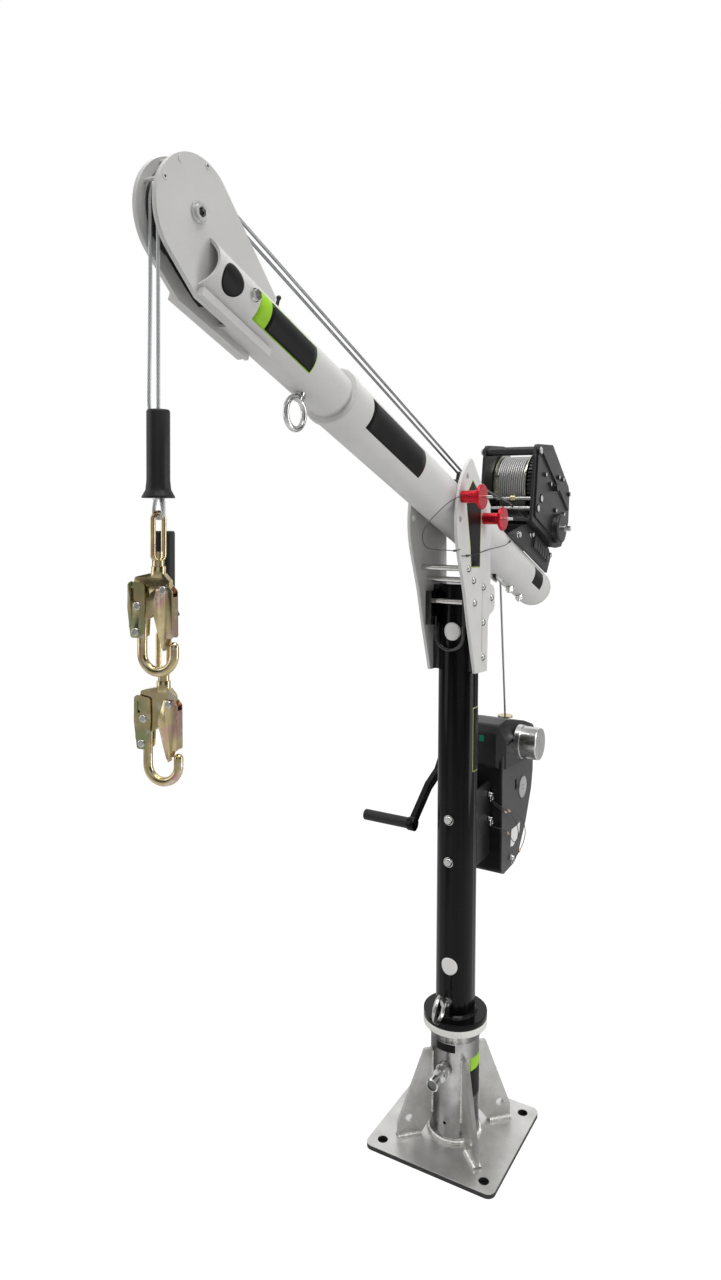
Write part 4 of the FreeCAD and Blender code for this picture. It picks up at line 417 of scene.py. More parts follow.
# Black rubber, also used for thin sheets of painted shade
rubber_and_shade = finish("rubber_and_shade", low=(0.006, 0.006, 0.0065), high=(0.014, 0.014, 0.015),
                rough=(0.36, 0.56), spec=0.4, grain=1500.0, bump=0.35)
wire_dark = finish("wire_dark", low=(0.01, 0.01, 0.0105), high=(0.035, 0.035, 0.035),
                   rough=(0.35, 0.55), blotch=300.0, grain=2600.0, bump=0.4)
copper = finish("copper", low=(0.5, 0.33, 0.24), high=(0.7, 0.5, 0.4), rough=(0.25, 0.4), metal=1.0,
                blotch=200.0)
vinyl_black = finish("vinyl_black", low=(0.005, 0.0048, 0.0048), high=(0.010, 0.0095, 0.0095),
                     **VINYL)
vinyl_green = finish("vinyl_green", low=(0.28, 0.55, 0.022), high=(0.36, 0.66, 0.04), **VINYL)
vinyl_lime = finish("vinyl_lime", low=(0.42, 0.5, 0.12), high=(0.52, 0.6, 0.18), **VINYL)
groove_shade_grey = finish("groove_shade_grey", low=(0.2, 0.2, 0.195), high=(0.28, 0.28, 0.27), **VINYL)
vinyl_white = finish("vinyl_white", low=(0.74, 0.73, 0.72), high=(0.82, 0.81, 0.8), **VINYL)
vinyl_sea = finish("vinyl_sea", low=(0.0, 0.16, 0.08), high=(0.01, 0.24, 0.12), **VINYL)
BLOCK_COAT = dict(COAT, low=(0.004, 0.004, 0.0045), high=(0.009, 0.009, 0.0095))
bracket_mixed = joined("bracket_mixed", BLOCK_COAT, (BRIGHT, beyond(Y_WAY, BLOCK_PINS)))
boom_trim = joined("boom_trim", BRIGHT, (COAT, spots([boom(886, 62, 0)], STOP_R)))
PALE_ZINC = dict(low=(0.38, 0.375, 0.3), high=(0.6, 0.59, 0.5), rough=(0.18, 0.34), metal=1.0,
                 blotch=40.0)
drum_mixed = joined("drum_mixed", PALE_ZINC, (COAT, beyond(Y_WAY, DRUM_GEAR)))
SADDLE_N, SADDLE_HALF, NUT_Y = 34, 62, 96
SADDLE_BOLTS = [boom(DRUM[0] + a, SADDLE_N + n, s * SADDLE_HALF)
                for a, n in ((171, 21), (66, 60), (-112, 56)) for s in (-1, 1)]
saddle_mixed = joined("saddle_mixed", COAT, (BRIGHT, spots(SADDLE_BOLTS, SADDLE_BOLT_R)))
NUTS = [(-26, 44), (-66, 54), (-36, -60), (-148, 38), (40, -6), (-116, -42), (94, 2)]
COVER_NUTS = spots([boom(DRUM[0] + a, DRUM[1] + n, NUT_Y) for a, n in NUTS], COVER_NUT_R)
cover_mixed = joined("cover_mixed", COAT, (BRIGHT, COVER_NUTS))
pin_mixed = joined("pin_mixed", RED, (BRIGHT, beyond(Y_WAY, PIN_BUTTON)))
TOP_BAR = spots([boom(-278, 314, y) for y in range(-70, 71, 20)], TOP_BAR_R)
ROD_RING = spots([boom(-346, 193, 0)], ROD_RING_R)
bars_mixed = joined("bars_mixed", BRIGHT, (GOLD, ROD_RING), (COAT, TOP_BAR))
OFF_AXLE = other_than(spots([boom(*SHEAVE, y) for y in (-12, 0, 12)], AXLE_R))
SOCKET_Y, SCREW_Y, KEEPER_REACH, KEEPER_DEGREES = 26.2, 24, 78.8, (2, 84)
# Dark spots at the axle's sockets and at the keeper screws: painted shade in their recesses
SOCKETS = spots([boom(*SHEAVE, s * SOCKET_Y) for s in (-1, 1)], SOCKET_R)
SCREWS = spots([round_sheave(d, KEEPER_REACH, s * SCREW_Y)
                for d in KEEPER_DEGREES for s in (-1, 1)], SCREW_R)
AXLE = dict(low=(0.58, 0.58, 0.57), high=(0.78, 0.78, 0.76), rough=(0.3, 0.46), metal=0.55,
            blotch=60.0)
axle_mixed = joined("axle_mixed", AXLE, (PAINT, OFF_AXLE), (PAINTED_SHADE_MATTE, SOCKETS), (PAINTED_SHADE_MATTE, SCREWS))
HOOK_FOOT = {"near": mm(*PLUMB["near"], 1373.83), "far": mm(*PLUMB["far"], 1196.83)}


def rivets(tag, places, out):
    """Centres of the rivet heads on both faces of a hook."""
    return [HOOK_FOOT[tag] + HOOK_SIDE * (u * MM) + HOOK_OUT * (s * out * MM) + mm(0, 0, v)
            for u, v in places for s in (-1, 1)]


def hook_finish(name, tints, heads=()):
    """Yellow zinc with a bloom of other tints, and bright rivet heads where there are any."""
    m, nt, b = new_material(name)
    base = toned(nt, ZINC)
    colour = patched(nt, base["Color"], tints)
    if heads:
        fac = spots(heads, RIVET_R)(nt)
        colour = blend(nt, fac, colour, toned(nt, BRIGHT)["Color"], "RGBA")
    nt.links.new(colour, b.inputs["Base Color"])
    nt.links.new(base["Roughness"], b.inputs["Roughness"])
    bumped(nt, b, base["Height"], ZINC)
    b.inputs["Metallic"].default_value = 1.0
    return m


PINK, GREEN, PALE = (0.62, 0.4, 0.33), (0.42, 0.46, 0.24), (0.76, 0.7, 0.54)


def rope_material(name, low, high, metal):
    """Laid wire: lighter crowns and painted shade in the grooves, from the mesh's groove attribute.
    """
    m, nt, b = new_material(name)
    base = toned(nt, dict(STEEL, rough=(0.26, 0.44), blotch=400.0, grain=1600.0))
    groove = add(nt, "ShaderNodeAttribute", attribute_name="groove").outputs["Fac"]
    tone = blend(nt, 0.25, groove, base["Height"], "FLOAT")
    tone = spread(nt, tone, 0.1, 0.85, 0.0, 1.0)
    nt.links.new(blend(nt, tone, rgba(low), rgba(high), "RGBA"), b.inputs["Base Color"])
    nt.links.new(base["Roughness"], b.inputs["Roughness"])
    b.inputs["Metallic"].default_value = metal
    return m


# One steel rope in three tones: lighter where it turns and hangs, darker along the boom and on the
# drum; the tones are painted light and shade
rope_steel = rope_material("rope_steel", (0.035, 0.035, 0.036), (0.4, 0.405, 0.41), 0.8)
rope_hung = rope_material("rope_hung", (0.13, 0.13, 0.135), (0.78, 0.79, 0.8), 0.5)
rope_wound = rope_material("rope_wound", (0.05, 0.05, 0.05), (0.56, 0.56, 0.55), 0.35)

FINISH = {
    "base_plate": plate_steel, "base_gussets": gusset_steel, "base_sleeve": sleeve_steel,
    "base_liner": white_plastic, "plunger": plunger_steel, "mast_tube": black_gloss,
    "mast_fittings": mast_bolts, "head_plate_near": boom_white, "head_plate_far": boom_white,
    "head_spacers": spacer_mixed, "tie_off_hoop": hoop_gloss, "lock_pin": pin_mixed,
    "pivot_pin": pin_mixed, "boom_lower": boom_white, "boom_collar": boom_white,
    "boom_upper": boom_white, "cheek_near": boom_white, "cheek_far": boom_white,
    "head_axle": axle_mixed, "sheave_near": sheave_black, "sheave_far": sheave_black,
    "rope_guide": winch_coat, "boom_fittings": boom_trim, "pulley_bracket": boom_white,
    "boom_pulley": sheave_black, "winch_saddle": saddle_mixed, "winch_plates": winch_coat,
    "winch_bars": bars_mixed, "winch_cover": cover_mixed, "winch_drum": drum_mixed,
    "winch_drive": bright_steel, "srl_case": case_coat, "srl_cover": side_cover, "srl_cap": moulded,
    "srl_guide": brass, "srl_clutch": silver, "srl_bracket": bracket_mixed,
    "crank_arm": black_gloss, "crank_grip": rubber_and_shade,
}
for tag in ("near", "far"):
    gate_heads = rivets(tag, [(12, 128)], 9.8)
    lever_heads = rivets(tag, [(-32.3, 66), (-29.4, 104)], 11.0)
    FINISH.update({
        "bumper_" + tag: rubber_and_shade,
        "link_" + tag: hook_finish("link_zinc_" + tag, [(PINK, 44, 0.54, 0.7)]),
        "hook_" + tag: hook_finish("hook_zinc_" + tag,
                                   [(PINK, 38, 0.54, 0.68), (PALE, 60, 0.56, 0.7)]),
        "gate_" + tag: hook_finish("gate_zinc_" + tag,
                                   [(PINK, 26, 0.46, 0.62), (PALE, 60, 0.58, 0.7)], gate_heads),
        "lever_" + tag: hook_finish("lever_zinc_" + tag,
                                    [(GREEN, 26, 0.44, 0.6), (PALE, 60, 0.58, 0.7)], lever_heads),
    })
for name, o in NODES.items():
    o.data.materials.clear()
    o.data.materials.append(FINISH.get(name, rope_steel))

# Softened edges on the plates and cast pieces
SOFT_EDGES = {
    "base_plate": 1.2, "base_gussets": 1.0, "base_liner": 1.5, "mast_tube": 1.2,
    "head_plate_near": 1.2, "head_plate_far": 1.2, "cheek_near": 1.0, "cheek_far": 1.0,
    "winch_plates": 1.2, "winch_cover": 1.0, "winch_saddle": 1.5, "srl_case": 2.0, "srl_cap": 2.0,
    "srl_cover": 0.8, "srl_bracket": 0.8, "crank_arm": 2.0, "tie_off_hoop": 0.8, "rope_guide": 0.8,
    "bumper_near": 0.8, "bumper_far": 0.8,
}
WELD_GAP, FLAT_ANGLE, EDGE_ANGLE = 0.00002, math.radians(0.4), math.radians(38)
for tag in ("near", "far"):
    SOFT_EDGES.update({"hook_" + tag: 1.0, "gate_" + tag: 0.6, "lever_" + tag: 0.6})
for name, width in SOFT_EDGES.items():
    o = NODES[name]
    weld = o.modifiers.new("weld", "WELD")
    weld.merge_threshold = WELD_GAP
    flat = o.modifiers.new("flat", "DECIMATE")
    flat.decimate_type = "DISSOLVE"
    flat.angle_limit = FLAT_ANGLE
    bev = o.modifiers.new("bevel", "BEVEL")
    bev.width = width * MM
    bev.segments = 2
    bev.limit_method = "ANGLE"
    bev.angle_limit = EDGE_ANGLE
    bev.harden_normals = True


# Ropes and wires
def route_line(points, step):
    """Points along the route's smooth line, evenly spaced."""
    cu = bpy.data.curves.new("route", "CURVE")
    cu.dimensions = "3D"
    cu.resolution_u = 24
    sp = cu.splines.new("NURBS")
    sp.points.add(len(points) - 1)
    for p, q in zip(sp.points, points):
        p.co = (q.x, q.y, q.z, 1.0)
    sp.order_u = 3
    sp.use_endpoint_u = True
    ob = bpy.data.objects.new("route", cu)
    scene.collection.objects.link(ob)
    me = bpy.data.meshes.new_from_object(ob.evaluated_get(bpy.context.evaluated_depsgraph_get()))
    raw = [v.co.copy() for v in me.vertices]
    bpy.data.objects.remove(ob)
    bpy.data.curves.remove(cu)
    bpy.data.meshes.remove(me)
    reach = [0.0]
    for p, q in zip(raw, raw[1:]):
        reach.append(reach[-1] + (q - p).length)
    count = max(2, round(reach[-1] / step))
    line, k = [], 0
    for i in range(count + 1):
        s = reach[-1] * i / count
        while k < len(raw) - 2 and reach[k + 1] < s:
            k += 1
        f = (s - reach[k]) / max(reach[k + 1] - reach[k], 1e-9)
        line.append(raw[k].lerp(raw[k + 1], min(max(f, 0.0), 1.0)))
    return line, reach[-1]


def smooth_object(name, me, material):
    for poly in me.polygons:
        poly.use_smooth = True
    me.materials.append(material)
    o = bpy.data.objects.new(name, me)
    scene.collection.objects.link(o)
    return o


def tube_mesh(name, line, section, material):
    """Closed tube along a line; section gives a radius and a groove at an arc length and angle."""
    tangents = []
    for i in range(len(line)):
        t = line[min(i + 1, len(line) - 1)] - line[max(i - 1, 0)]
        tangents.append(t.normalized())
    side = tangents[0].orthogonal().normalized()
    verts, grooves, faces = [], [], []
    sides = section.sides
    s = 0.0
    for i, (p, t) in enumerate(zip(line, tangents)):
        if i:
            s += (p - line[i - 1]).length
            side = (side - t * side.dot(t)).normalized()
        other = t.cross(side)
        for k in range(sides):
            ang = 2 * math.pi * k / sides
            r, g = section(s, ang)
            verts.append(p + side * (r * math.cos(ang)) + other * (r * math.sin(ang)))
            grooves.append(g)
    for i in range(len(line) - 1):
        for k in range(sides):
            a, b = i * sides + k, i * sides + (k + 1) % sides
            faces.append((a, b, b + sides, a + sides))
    last = (len(line) - 1) * sides
    faces.append(tuple(reversed(range(sides))))
    faces.append(tuple(range(last, last + sides)))
    me = bpy.data.meshes.new(name)
    me.from_pydata([tuple(v) for v in verts], [], faces)
    me.attributes.new("groove", "FLOAT", "POINT").data.foreach_set("value", grooves)
    return smooth_object(name, me, material)


# Shares of a laid rope's radius and of a strand's, and the groove value of plain pieces
CORE_SHARE, LEAST_SHARE, PLAIN_GROOVE = 0.62, 0.35, 0.6


def laid(radius, strands=6, lay=38.0, per=4):
    """Section of a laid rope: round strands that turn once in each lay length."""
    core = radius * CORE_SHARE
    strand = radius - core

    def section(s, ang):
        turned = ang - 2 * math.pi * s / (lay * MM)
        local = turned % (2 * math.pi / strands) - math.pi / strands
        square = strand ** 2 - (core * math.sin(local)) ** 2
        r = core * math.cos(local) + math.sqrt(max(square, (LEAST_SHARE * strand) ** 2))
        return r * MM, max(0.0, 1.0 - (abs(local) * strands / math.pi) ** 2)

    section.sides = strands * per
    return section


def plain(radius, sides):
    def section(s, ang):
        return radius * MM, PLAIN_GROOVE

    section.sides = sides
    return section


def rope(name, points, step=3.2, material=rope_steel, section=None):
    """Piece along a route, with its line and length."""
    line, length = route_line(points, step * MM)
    return tube_mesh(name, line, section or laid(ROPE_R), material), line, length


def declare(o, line, length):
    tuple(line[0])
    [tuple(p) for p in line]


# Radius of a rope's line on a sheave, and of the points that steer its curve
WRAP_R, STEER_R = 70, 72.1


def over_sheave(start, y):
    """Route over a head sheave, from an angle on the boom's side to plumb."""
    steer = [round_sheave(d, STEER_R, y) for d in (77, 49, 21, -7)]
    return [round_sheave(start, WRAP_R, y)] + steer + [round_sheave(-21.1, WRAP_R, y)]


# Winch rope: drum, lower rod, guide, near sheave
run = [(-447.04, 169.45), (-411, 168.35), (-365, 166.9), (-329, 165.8), (-294, 159.4), (-41, 113.5),
       (-6, 107.15), (30, 107.87), (1098.6, 129.27), (1134.6, 129.99)]
o, line, length = rope("rope_winch_run", [boom(a, n, ROPE_Y) for a, n in run])
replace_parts(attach(o, "arm"), "rope_winch")
declare(o, line, length)
o, line, _ = rope("rope_winch_turn", over_sheave(91.15, ROPE_Y), material=rope_hung)
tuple(line[0])
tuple(line[-1])
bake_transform(o)
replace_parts(o, "rope_winch")

# Retrieval rope: boom pulley, boom, guide, far sheave
run = [(-343.62, -33.54), (-340.44, -27.35), (-333.62, -24.5), (-300.3, -10.8), (-47.3, 93.4),
       (-14, 107.15), (22, 107.87), (1098.6, 129.26), (1134.6, 129.98)]
o, line, length = rope("rope_retrieval_run", [boom(a, n, -ROPE_Y) for a, n in run])
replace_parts(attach(o, "arm"), "rope_retrieval")
declare(o, line, length)
o, line, _ = rope("rope_retrieval_turn", over_sheave(91.14, -ROPE_Y), material=rope_hung)
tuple(line[0])
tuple(line[-1])
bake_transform(o)
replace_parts(o, "rope_retrieval")

# Free rope from the retrieval block to the boom pulley
run = [(-362, 1015), (-357.55, 1050.7), (-312.96, 1407.3), (-308.51, 1443.0)]
o, line, length = rope("rope_to_block", [mm(x, -ROPE_Y, z) for x, z in run])
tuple(line[0])
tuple(line[-1])
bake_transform(o)
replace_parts(o, "rope_drop")
declare(o, line, length)

# Hanging ropes with their eyes and crimps
HANG = {
    "near": [mm(*PLUMB["near"], z) for z in (2062.93, 2026.9, 1680.9, 1644.93)],
    "far": [mm(HEAD_X, -ROPE_Y, z) for z in (2062.93, 1979, 1942.93)]
    + [mm(1104.535, -11.67, 1907.36), mm(1093.735, -23.83, 1803.5), mm(1090.035, -28, 1767.93),
       mm(1084.005, -25.68, 1732.51), mm(1074.265, -21.92, 1675.35)]
    + [mm(*PLUMB["far"], z) for z in (1639.93, 1604, 1467.93)],
}
EYE_Z = {"near": 1612.93, "far": 1435.93}
EYE_TURN = math.radians(75)
EYE_WAY = Vector((math.cos(EYE_TURN), math.sin(EYE_TURN), 0))
EYE = [(-5, 26), (-11, 12), (-12.5, -1), (-6, -7.2), (6, -7.2), (12.5, -1), (11, 12), (5, 26)]
CRIMP = (20, 26, 32, 38)
CRIMP_R = 8.0
for tag, points in HANG.items():
    o, line, length = rope("rope_hanging_" + tag, points, material=rope_hung)
    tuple(line[0])
    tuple(line[-1])
    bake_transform(o)
    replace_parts(o, "rope_hang_" + tag)
    declare(o, line, length)
    foot = mm(*PLUMB[tag], EYE_Z[tag])
    eye, _, _ = rope("rope_loop_" + tag, [foot + EYE_WAY * (w * MM) + mm(0, 0, v) for w, v in EYE],
                     step=2.0, material=rope_hung)
    crimp, _, _ = rope("rope_crimp_" + tag, [foot + mm(0, 0, v) for v in CRIMP],
                       step=2.0, material=bright_steel, section=plain(CRIMP_R, sides=24))
    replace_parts(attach(eye, "hoist_" + tag), "rope_eye_" + tag)
    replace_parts(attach(crimp, "hoist_" + tag), "rope_eye_" + tag)

# Rope wound on the drum
TURNS, PER_TURN, WINDING_R, PITCH, FIRST_Y = 12, 16, 92.2, 6.7, -61.2
coil = []
for k in range(TURNS * PER_TURN + 1):
    t = 2 * math.pi * k / PER_TURN
    at_end = k in (0, TURNS * PER_TURN)
    r = WINDING_R if at_end else WINDING_R / math.cos(math.pi / PER_TURN)
    coil.append(boom(DRUM[0] + r * math.cos(t), DRUM[1] + r * math.sin(t),
                     FIRST_Y + PITCH * k / PER_TURN))
o, _, _ = rope("drum_winding", coil, step=4.0, material=rope_wound)
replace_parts(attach(o, "drum"), "winch_winding")


# Wire lanyards of the pins
def wire(name, points):
    return rope(name, [mm(*p) for p in points], step=3.0, material=wire_dark,
                section=laid(WIRE_R, lay=14, per=3))


def ferrule(name, line, start, length, radius, material, body):
    """Crimp sleeve on a wire, from a share of its length on."""
    total = sum((q - p).length for p, q in zip(line, line[1:]))
    part, s = [], 0.0
    for p, q in zip(line, line[1:]):
        if start * total <= s <= start * total + length * MM:
            part.append(p)
        s += (q - p).length
    o = tube_mesh(name, part, plain(radius, sides=14), material)
    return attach(o, body)


FERRULE_R, COPPER_R = 2.6, 2.7
LOCK = [(153.6, 80.1, 1655), (196, 80, 1650), (252, 80, 1636), (304, 79.5, 1614), (350, 79, 1594),
        (380, 78, 1570), (372, 77, 1545), (338, 76, 1534), (284, 74, 1530), (226, 71, 1527),
        (180, 68.5, 1523), (150, 67.05, 1526)]
o, line, length = wire("wire_lock", LOCK[::-1])
f1 = ferrule("wire_lock_ferrule", line, 0.05, 18, FERRULE_R, moulded, "mast")
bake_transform(o)
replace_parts(o, "lanyard_lock")
declare(o, line, length)
SADDLE = [(140, 67.05, 1510), (98, 67.05, 1508), (44, 67.6, 1511), (-10, 68, 1517), (-62, 68, 1521),
          (-116, 67.5, 1523), (-170, 66, 1528), (-206, 62.5, 1538), (-234, 59.4, 1550)]
o, line, length = wire("wire_saddle", SADDLE)
f1 = ferrule("wire_saddle_ferrule_a", line, 0.07, 18, FERRULE_R, moulded, "mast")
f2 = ferrule("wire_saddle_ferrule_b", line, 0.86, 16, FERRULE_R, moulded, "arm")
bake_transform(o)
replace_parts(o, "lanyard_saddle")
declare(o, line, length)
LOOP = [(-126, 44, 836.3), (-124, 60, 828), (-134, 76, 814), (-164, 82, 802), (-194, 82, 782),
        (-220, 82, 756), (-238, 82, 728), (-230, 81.5, 708), (-206, 81, 706), (-182, 81, 726),
        (-158, 80, 750), (-134, 76, 766), (-124, 60, 770), (-126, 44, 770.3)]
LONG = [(-114.3, 44.5, 848), (-112, 62, 840), (-122, 80, 826), (-150, 88, 812), (-190, 89, 796),
        (-232, 89, 772), (-264, 89, 744), (-276, 89, 714), (-262, 88.5, 692), (-238, 85, 672),
        (-213, 79.3, 659.2)]
SLEEVED = (("wire_loop", LOOP, (0.13, 0.8)), ("wire_long", LONG, (0.2, 0.88)))
for name, points, shares in SLEEVED:
    o, line, length = wire(name, points)
    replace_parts(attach(o, "mast"), "srl_lanyards")
    sleeves = [ferrule(name + "_ferrule_" + str(k), line, s, 14, COPPER_R, copper, "mast")
               for k, s in enumerate(shares)]
    declare(o, line, length)


# Thin plain panels that lie on a tube or a plate
POINT_STEP = 6


def rounded_box(s0, s1, t0, t1, r, steps=6):
    """Outline of a rectangle with round corners, with points along its sides."""
    corners = ((s1 - r, t1 - r, 0), (s0 + r, t1 - r, 90), (s0 + r, t0 + r, 180),
               (s1 - r, t0 + r, 270))
    out = []
    for cs, ct, a0 in corners:
        for k in range(steps + 1):
            t = math.radians(a0 + 90 * k / steps)
            out.append((cs + r * math.cos(t), ct + r * math.sin(t)))
    dense = []
    for p, q in zip(out, out[1:] + out[:1]):
        ds, dt = q[0] - p[0], q[1] - p[1]
        n = max(1, int(math.hypot(ds, dt) / POINT_STEP))
        dense += [(p[0] + ds * k / n, p[1] + dt * k / n) for k in range(n)]
    return dense


def disc(cs, ct, r, steps=48):
    angles = [2 * math.pi * k / steps for k in range(steps)]
    return [(cs + r * math.cos(t), ct + r * math.sin(t)) for t in angles]


# How far a panel's rim falls and its skirt sinks below the surface, in millimetres
RIM_DROP, SKIRT = 0.08, 0.15


def panel(name, outline, to_world, height, material, body, rings=7):
    """Thin skin over an outline; to_world takes the outline's coordinates and a height."""
    cs = sum(p[0] for p in outline) / len(outline)
    ct = sum(p[1] for p in outline) / len(outline)
    n = len(outline)
    verts, faces = [to_world(cs, ct, height)], []
    for k in range(1, rings + 1):
        f = k / rings
        h = height if k < rings else height - RIM_DROP
        verts += [to_world(cs + (p[0] - cs) * f, ct + (p[1] - ct) * f, h) for p in outline]
    verts += [to_world(p[0], p[1], -SKIRT) for p in outline]
    for j in range(n):
        faces.append((0, 1 + j, 1 + (j + 1) % n))
        for k in range(rings):
            a, b = 1 + k * n + j, 1 + k * n + (j + 1) % n
            faces.append((a, a + n, b + n, b))
    me = bpy.data.meshes.new(name)
    me.from_pydata([tuple(v) for v in verts], [], faces)
    bm = bmesh.new()
    bm.from_mesh(me)
    bmesh.ops.recalc_face_normals(bm, faces=bm.faces)
    bm.to_mesh(me)
    bm.free()
    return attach(smooth_object(name, me, material), body)


def on_boom_tube(radius):
    def to_world(a, t, h):
        ang = t / radius
        return boom(a, (radius + h) * math.sin(ang), (radius + h) * math.cos(ang))
    return to_world


def on_upright(radius):
    def to_world(z, t, h):
        ang = t / radius
        return mm((radius + h) * math.cos(ang), (radius + h) * math.sin(ang), z)
    return to_world


# Radii of the tubes, places of the flat faces and heights of the panels, in millimetres
UP_R, LOW_R, MAST_R, SLEEVE_R = 47.65, 57.15, 50.8, 62.5
HEAD_Y, COVER_Y, CAP_X, GAP_SHADE_Y, HOLE_Z = 65.65, 70.0, -134.0, -15.0, 0.9
UNDER, SINGLE, BESIDE, OVER = 0.25, 0.35, 0.4, 0.45
UPPER, LOWER = (on_boom_tube, UP_R, "arm"), (on_boom_tube, LOW_R, "arm")
MAST, SLEEVE = (on_upright, MAST_R, "mast"), (on_upright, SLEEVE_R, "base")


def tube_panel(name, tube, ends, degrees, corner, height, material):
    """Rectangle on a tube, between two places along it and two angles round it."""
    on_tube, radius, body = tube
    t0, t1 = [radius * math.radians(d) for d in degrees]
    panel(name, rounded_box(*ends, t0, t1, corner), on_tube(radius), height, material, body)


def tube_disc(name, tube, along, degrees, size, material):
    on_tube, radius, body = tube
    outline = disc(along, radius * math.radians(degrees), size)
    panel(name, outline, on_tube(radius), SINGLE, material, body)


def on_near_plate(x, z, h):
    return mm(x, HEAD_Y + h, z)


tube_disc("panel_oval", UPPER, 1053, -6, 26, vinyl_black)
tube_panel("panel_upper_rim", UPPER, (802, 982), (-37.5, 30.5), 2, UNDER, vinyl_green)
tube_panel("panel_upper_black", UPPER, (804, 949), (-35.2, 28.3), 1.5, OVER, vinyl_black)
tube_panel("panel_lower_dark", LOWER, (344, 596), (-38, 31), 2, SINGLE, vinyl_black)
tube_panel("panel_rear", LOWER, (-535, -458), (-30, 20), 2, SINGLE, vinyl_black)
tube_disc("panel_mast_high", MAST, 1313.7, 3.5, 22.8, vinyl_white)
tube_disc("panel_mast_low", MAST, 458, 3.5, 22, vinyl_white)
tube_panel("panel_mast_rim", MAST, (955, 1119), (71, 124), 2, UNDER, vinyl_lime)
tube_panel("panel_mast_strip", MAST, (957, 1117), (73, 122), 2, OVER, vinyl_black)
tube_panel("panel_sleeve_front", SLEEVE, (243, 263), (-25, 24), 1, SINGLE, vinyl_black)
tube_panel("panel_sleeve_side", SLEEVE, (119, 191), (62, 116), 1, SINGLE, vinyl_black)
tube_panel("panel_sleeve_green", SLEEVE, (191, 223), (62, 116), 1, BESIDE, vinyl_green)
leaf = [(73.6, 1692), (37.3, 1665.4), (18.7, 1634), (23.4, 1530), (24.1, 1478), (78.4, 1481),
        (84.6, 1532), (109.7, 1633), (100.7, 1664)]
mid_x, mid_z = [sum(p[k] for p in leaf) / len(leaf) for k in (0, 1)]
RIM_X, RIM_Z = 2.0, 2.5
rim = [(x + math.copysign(RIM_X, x - mid_x), z + math.copysign(RIM_Z, z - mid_z)) for x, z in leaf]
panel("panel_head_rim", rim, on_near_plate, UNDER, vinyl_lime, "mast")
panel("panel_head_plate", leaf, on_near_plate, OVER, vinyl_black, "mast")
# A dark grey strip along a groove line on the near plate: painted shade of the groove
groove_shade = rounded_box(4.6, 7.4, 1263, 1425, 1.2)
panel("groove_shade_head_plate", groove_shade, on_near_plate, 0.12, groove_shade_grey, "mast", rings=2)
tag_white = [(-282, 740), (-257, 737), (-214.4, 738.8), (-210, 714.4), (-205.4, 693.8),
             (-226.5, 688.6), (-258.1, 698.8), (-278, 714.6)]
panel("panel_block", tag_white, lambda x, z, h: mm(x, COVER_Y + h, z), SINGLE, vinyl_white, "mast")
# A dark strip on the far cheek's inner face: painted shadow in the gap between the cheeks
gap_shade_outline = [(1154, 3), (1138, -12), (1114, -22), (1087, -32), (1063, -40), (1048, -42), (1034, -33),
          (1045, -28), (1070, -20), (1098, -11), (1122, -1), (1141, 13)]
panel("head_gap_shade", gap_shade_outline, lambda a, n, h: boom(a, n, GAP_SHADE_Y + h), 0.3, rubber_and_shade, "arm", rings=2)
cap = rounded_box(5, 18, 994, 1011, 2)
panel("panel_cap", cap, lambda y, z, h: mm(CAP_X + h, y, z), SINGLE, vinyl_sea, "mast")


# Weld beads of the base and the mast's flange
RIPPLE, SWELL, RIPPLE_EVERY, SWELL_EVERY, BEAD_GROOVE = 0.14, 0.06, 4.6 * MM, 19 * MM, 0.5
BEAD_STEP, RING_STEP = 0.9, 1.1


def bead(name, line, radius, material, body):
    """Rippled bead along a line of points."""
    def section(s, ang):
        ripple = RIPPLE * math.sin(2 * math.pi * s / RIPPLE_EVERY)
        swell = SWELL * math.sin(2 * math.pi * s / SWELL_EVERY)
        return radius * MM * (1.0 + ripple + swell), BEAD_GROOVE

    section.sides = 12
    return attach(tube_mesh(name, line, section, material), body)


def straight(p, q):
    n = max(6, int((q - p).length / (BEAD_STEP * MM)))
    return [p.lerp(q, k / n) for k in range(n + 1)]


def ring(radius, z):
    n = int(2 * math.pi * radius / RING_STEP)
    angles = [2 * math.pi * k / n for k in range(n + 1)]
    return [mm(radius * math.cos(t), radius * math.sin(t), z) for t in angles]


PLATE_TOP, TOE, FOOT, GUSSET_HALF, UPRIGHT_FROM, UPRIGHT_TO = 12.0, 155.5, 95.5, 5.0, 66, 226
FOOT_BEAD_R, UPRIGHT_BEAD_R, FLANGE_BEAD_R = 5.6, 3.4, 3.6
UPRIGHT_SIDE, TOE_SIDE, TOE_Z = GUSSET_HALF + 1.2, GUSSET_HALF + 2.4, PLATE_TOP + 2.4
bead("bead_sleeve_foot", ring(65.6, PLATE_TOP + 2.6), FOOT_BEAD_R, bead_steel, "base")
bead("bead_flange", ring(53.6, 326.0), FLANGE_BEAD_R, black_gloss, "mast")
for k in range(4):
    t = math.radians(45 + 90 * k)
    out = Vector((math.cos(t), math.sin(t), 0))
    side = Vector((-math.sin(t), math.cos(t), 0))
    for sign, tag in ((-1, "l"), (1, "r")):
        reach = math.sqrt(SLEEVE_R ** 2 - UPRIGHT_SIDE ** 2) + 0.6
        root = out * (reach * MM) + side * (sign * UPRIGHT_SIDE * MM)
        upright = straight(root + mm(0, 0, UPRIGHT_FROM), root + mm(0, 0, UPRIGHT_TO))
        bead("bead_upright_%d%s" % (k, tag), upright, UPRIGHT_BEAD_R, bead_steel, "base")
        edge = side * (sign * TOE_SIDE * MM) + mm(0, 0, TOE_Z)
        toe = straight(out * (FOOT * MM) + edge, out * (TOE * MM) + edge)
        bead("bead_toe_%d%s" % (k, tag), toe, FOOT_BEAD_R, bead_steel, "base")

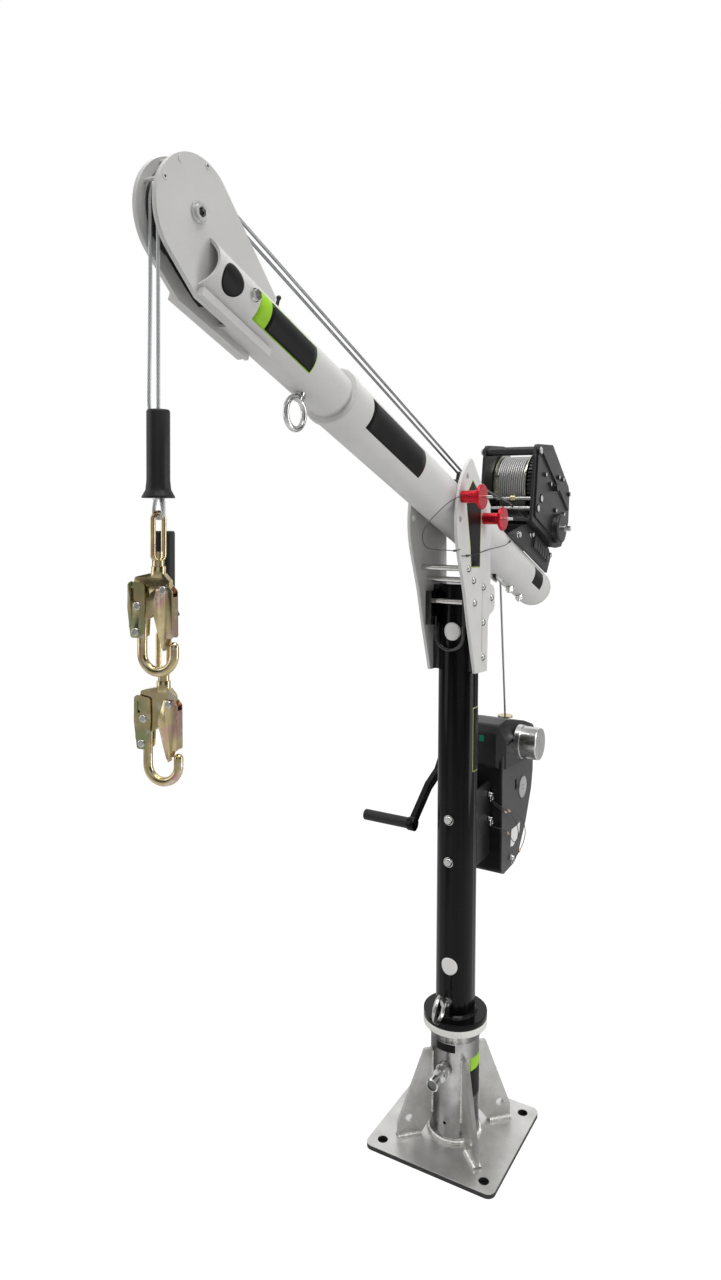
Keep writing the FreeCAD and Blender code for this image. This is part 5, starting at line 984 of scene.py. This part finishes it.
# Dark discs in the anchor holes: painted shade of the ground under the plate
ANCHOR, HOLE_R = 137.5, 12.7
for k, (sx, sy) in enumerate(((1, 1), (1, -1), (-1, 1), (-1, -1))):
    panel("hole_shade_%d" % k, disc(sx * ANCHOR, sy * ANCHOR, HOLE_R, 32),
          lambda x, y, h: mm(x, y, HOLE_Z + h), 0.3, rubber_and_shade, "base", rings=2)

# Floor and light
FLOOR_HALF, FLOOR_DROP, FLOOR_GLOW, GLOW_SEEN, ROOM_LIGHT = 30, 0.0004, 1.2, 0.78, 0.42
corners = [(-FLOOR_HALF, -FLOOR_HALF, 0), (FLOOR_HALF, -FLOOR_HALF, 0), (FLOOR_HALF, FLOOR_HALF, 0),
           (-FLOOR_HALF, FLOOR_HALF, 0)]
floor_mesh = bpy.data.meshes.new("floor")
floor_mesh.from_pydata(corners, [], [(0, 1, 2, 3)])
floor = bpy.data.objects.new("floor", floor_mesh)
floor.location.z = -FLOOR_DROP
scene.collection.objects.link(floor)
m, nt, b = new_material("floor")
b.inputs["Base Color"].default_value = (0.8, 0.8, 0.8, 1)
b.inputs["Roughness"].default_value = 0.7
b.inputs["Specular IOR Level"].default_value = 0.1
lit = add(nt, "ShaderNodeEmission", {"Color": (1, 1, 1, 1), "Strength": FLOOR_GLOW})
path = add(nt, "ShaderNodeLightPath")
seen = math_node(nt, "MULTIPLY", path.outputs["Is Camera Ray"], GLOW_SEEN)
both = add(nt, "ShaderNodeMixShader", {0: seen, 1: b.outputs[0], 2: lit.outputs[0]})
nt.links.new(both.outputs[0], nt.nodes["Material Output"].inputs["Surface"])
floor_mesh.materials.append(m)

world = bpy.data.worlds.new("world")
scene.world = world
world.use_nodes = True
nt = world.node_tree
bg = nt.nodes["Background"]
path = add(nt, "ShaderNodeLightPath")
see = math_node(nt, "MAXIMUM", path.outputs["Is Camera Ray"], path.outputs["Is Transmission Ray"])
# Reflections show the white backdrop, the light overhead and a box in front, in a darker room
way = coords(nt, "Generated")


def facing(direction, lo, hi, out_lo, out_hi):
    """Brightness of the part of the room that lies in a direction."""
    return spread(nt, dot(nt, way, direction), lo, hi, out_lo, out_hi)


backdrop = facing((-0.866, -0.5, 0.0), 0.4, 0.75, 0.06, 1.0)
overhead = facing((0.0, 0.0, 1.0), 0.45, 0.85, 0.0, 0.9)
front_box = facing((0.84, 0.5, 0.2), 0.86, 0.97, 0.0, 0.5)
studio = math_node(nt, "MAXIMUM", math_node(nt, "MAXIMUM", backdrop, overhead), front_box)
shiny = path.outputs["Is Glossy Ray"]
room = math_node(nt, "ADD", math_node(nt, "MULTIPLY", shiny, studio),
                 math_node(nt, "MULTIPLY", math_node(nt, "SUBTRACT", 1.0, shiny), ROOM_LIGHT))
strength = math_node(nt, "MAXIMUM", see, room)
bg.inputs["Color"].default_value = (1, 1, 1, 1)
nt.links.new(strength, bg.inputs["Strength"])


def lamp(name, at, aim, size, watts):
    data = bpy.data.lights.new(name, "AREA")
    data.shape = "RECTANGLE"
    data.size, data.size_y = size
    data.energy = watts
    o = bpy.data.objects.new(name, data)
    o.location = at
    o.rotation_mode = "QUATERNION"
    o.rotation_quaternion = (Vector(aim) - Vector(at)).to_track_quat("-Z", "Y")
    scene.collection.objects.link(o)


lamp("key", (0.7, 0.4, 4.4), (0.1, 0, 1.3), (2.4, 2.4), 85)
lamp("left", (2.4, -2.6, 2.2), (0.3, 0, 1.2), (2.4, 3.0), 30)
lamp("right", (-0.45, 2.1, 1.45), (-0.1, 0, 1.3), (0.9, 2.2), 22)
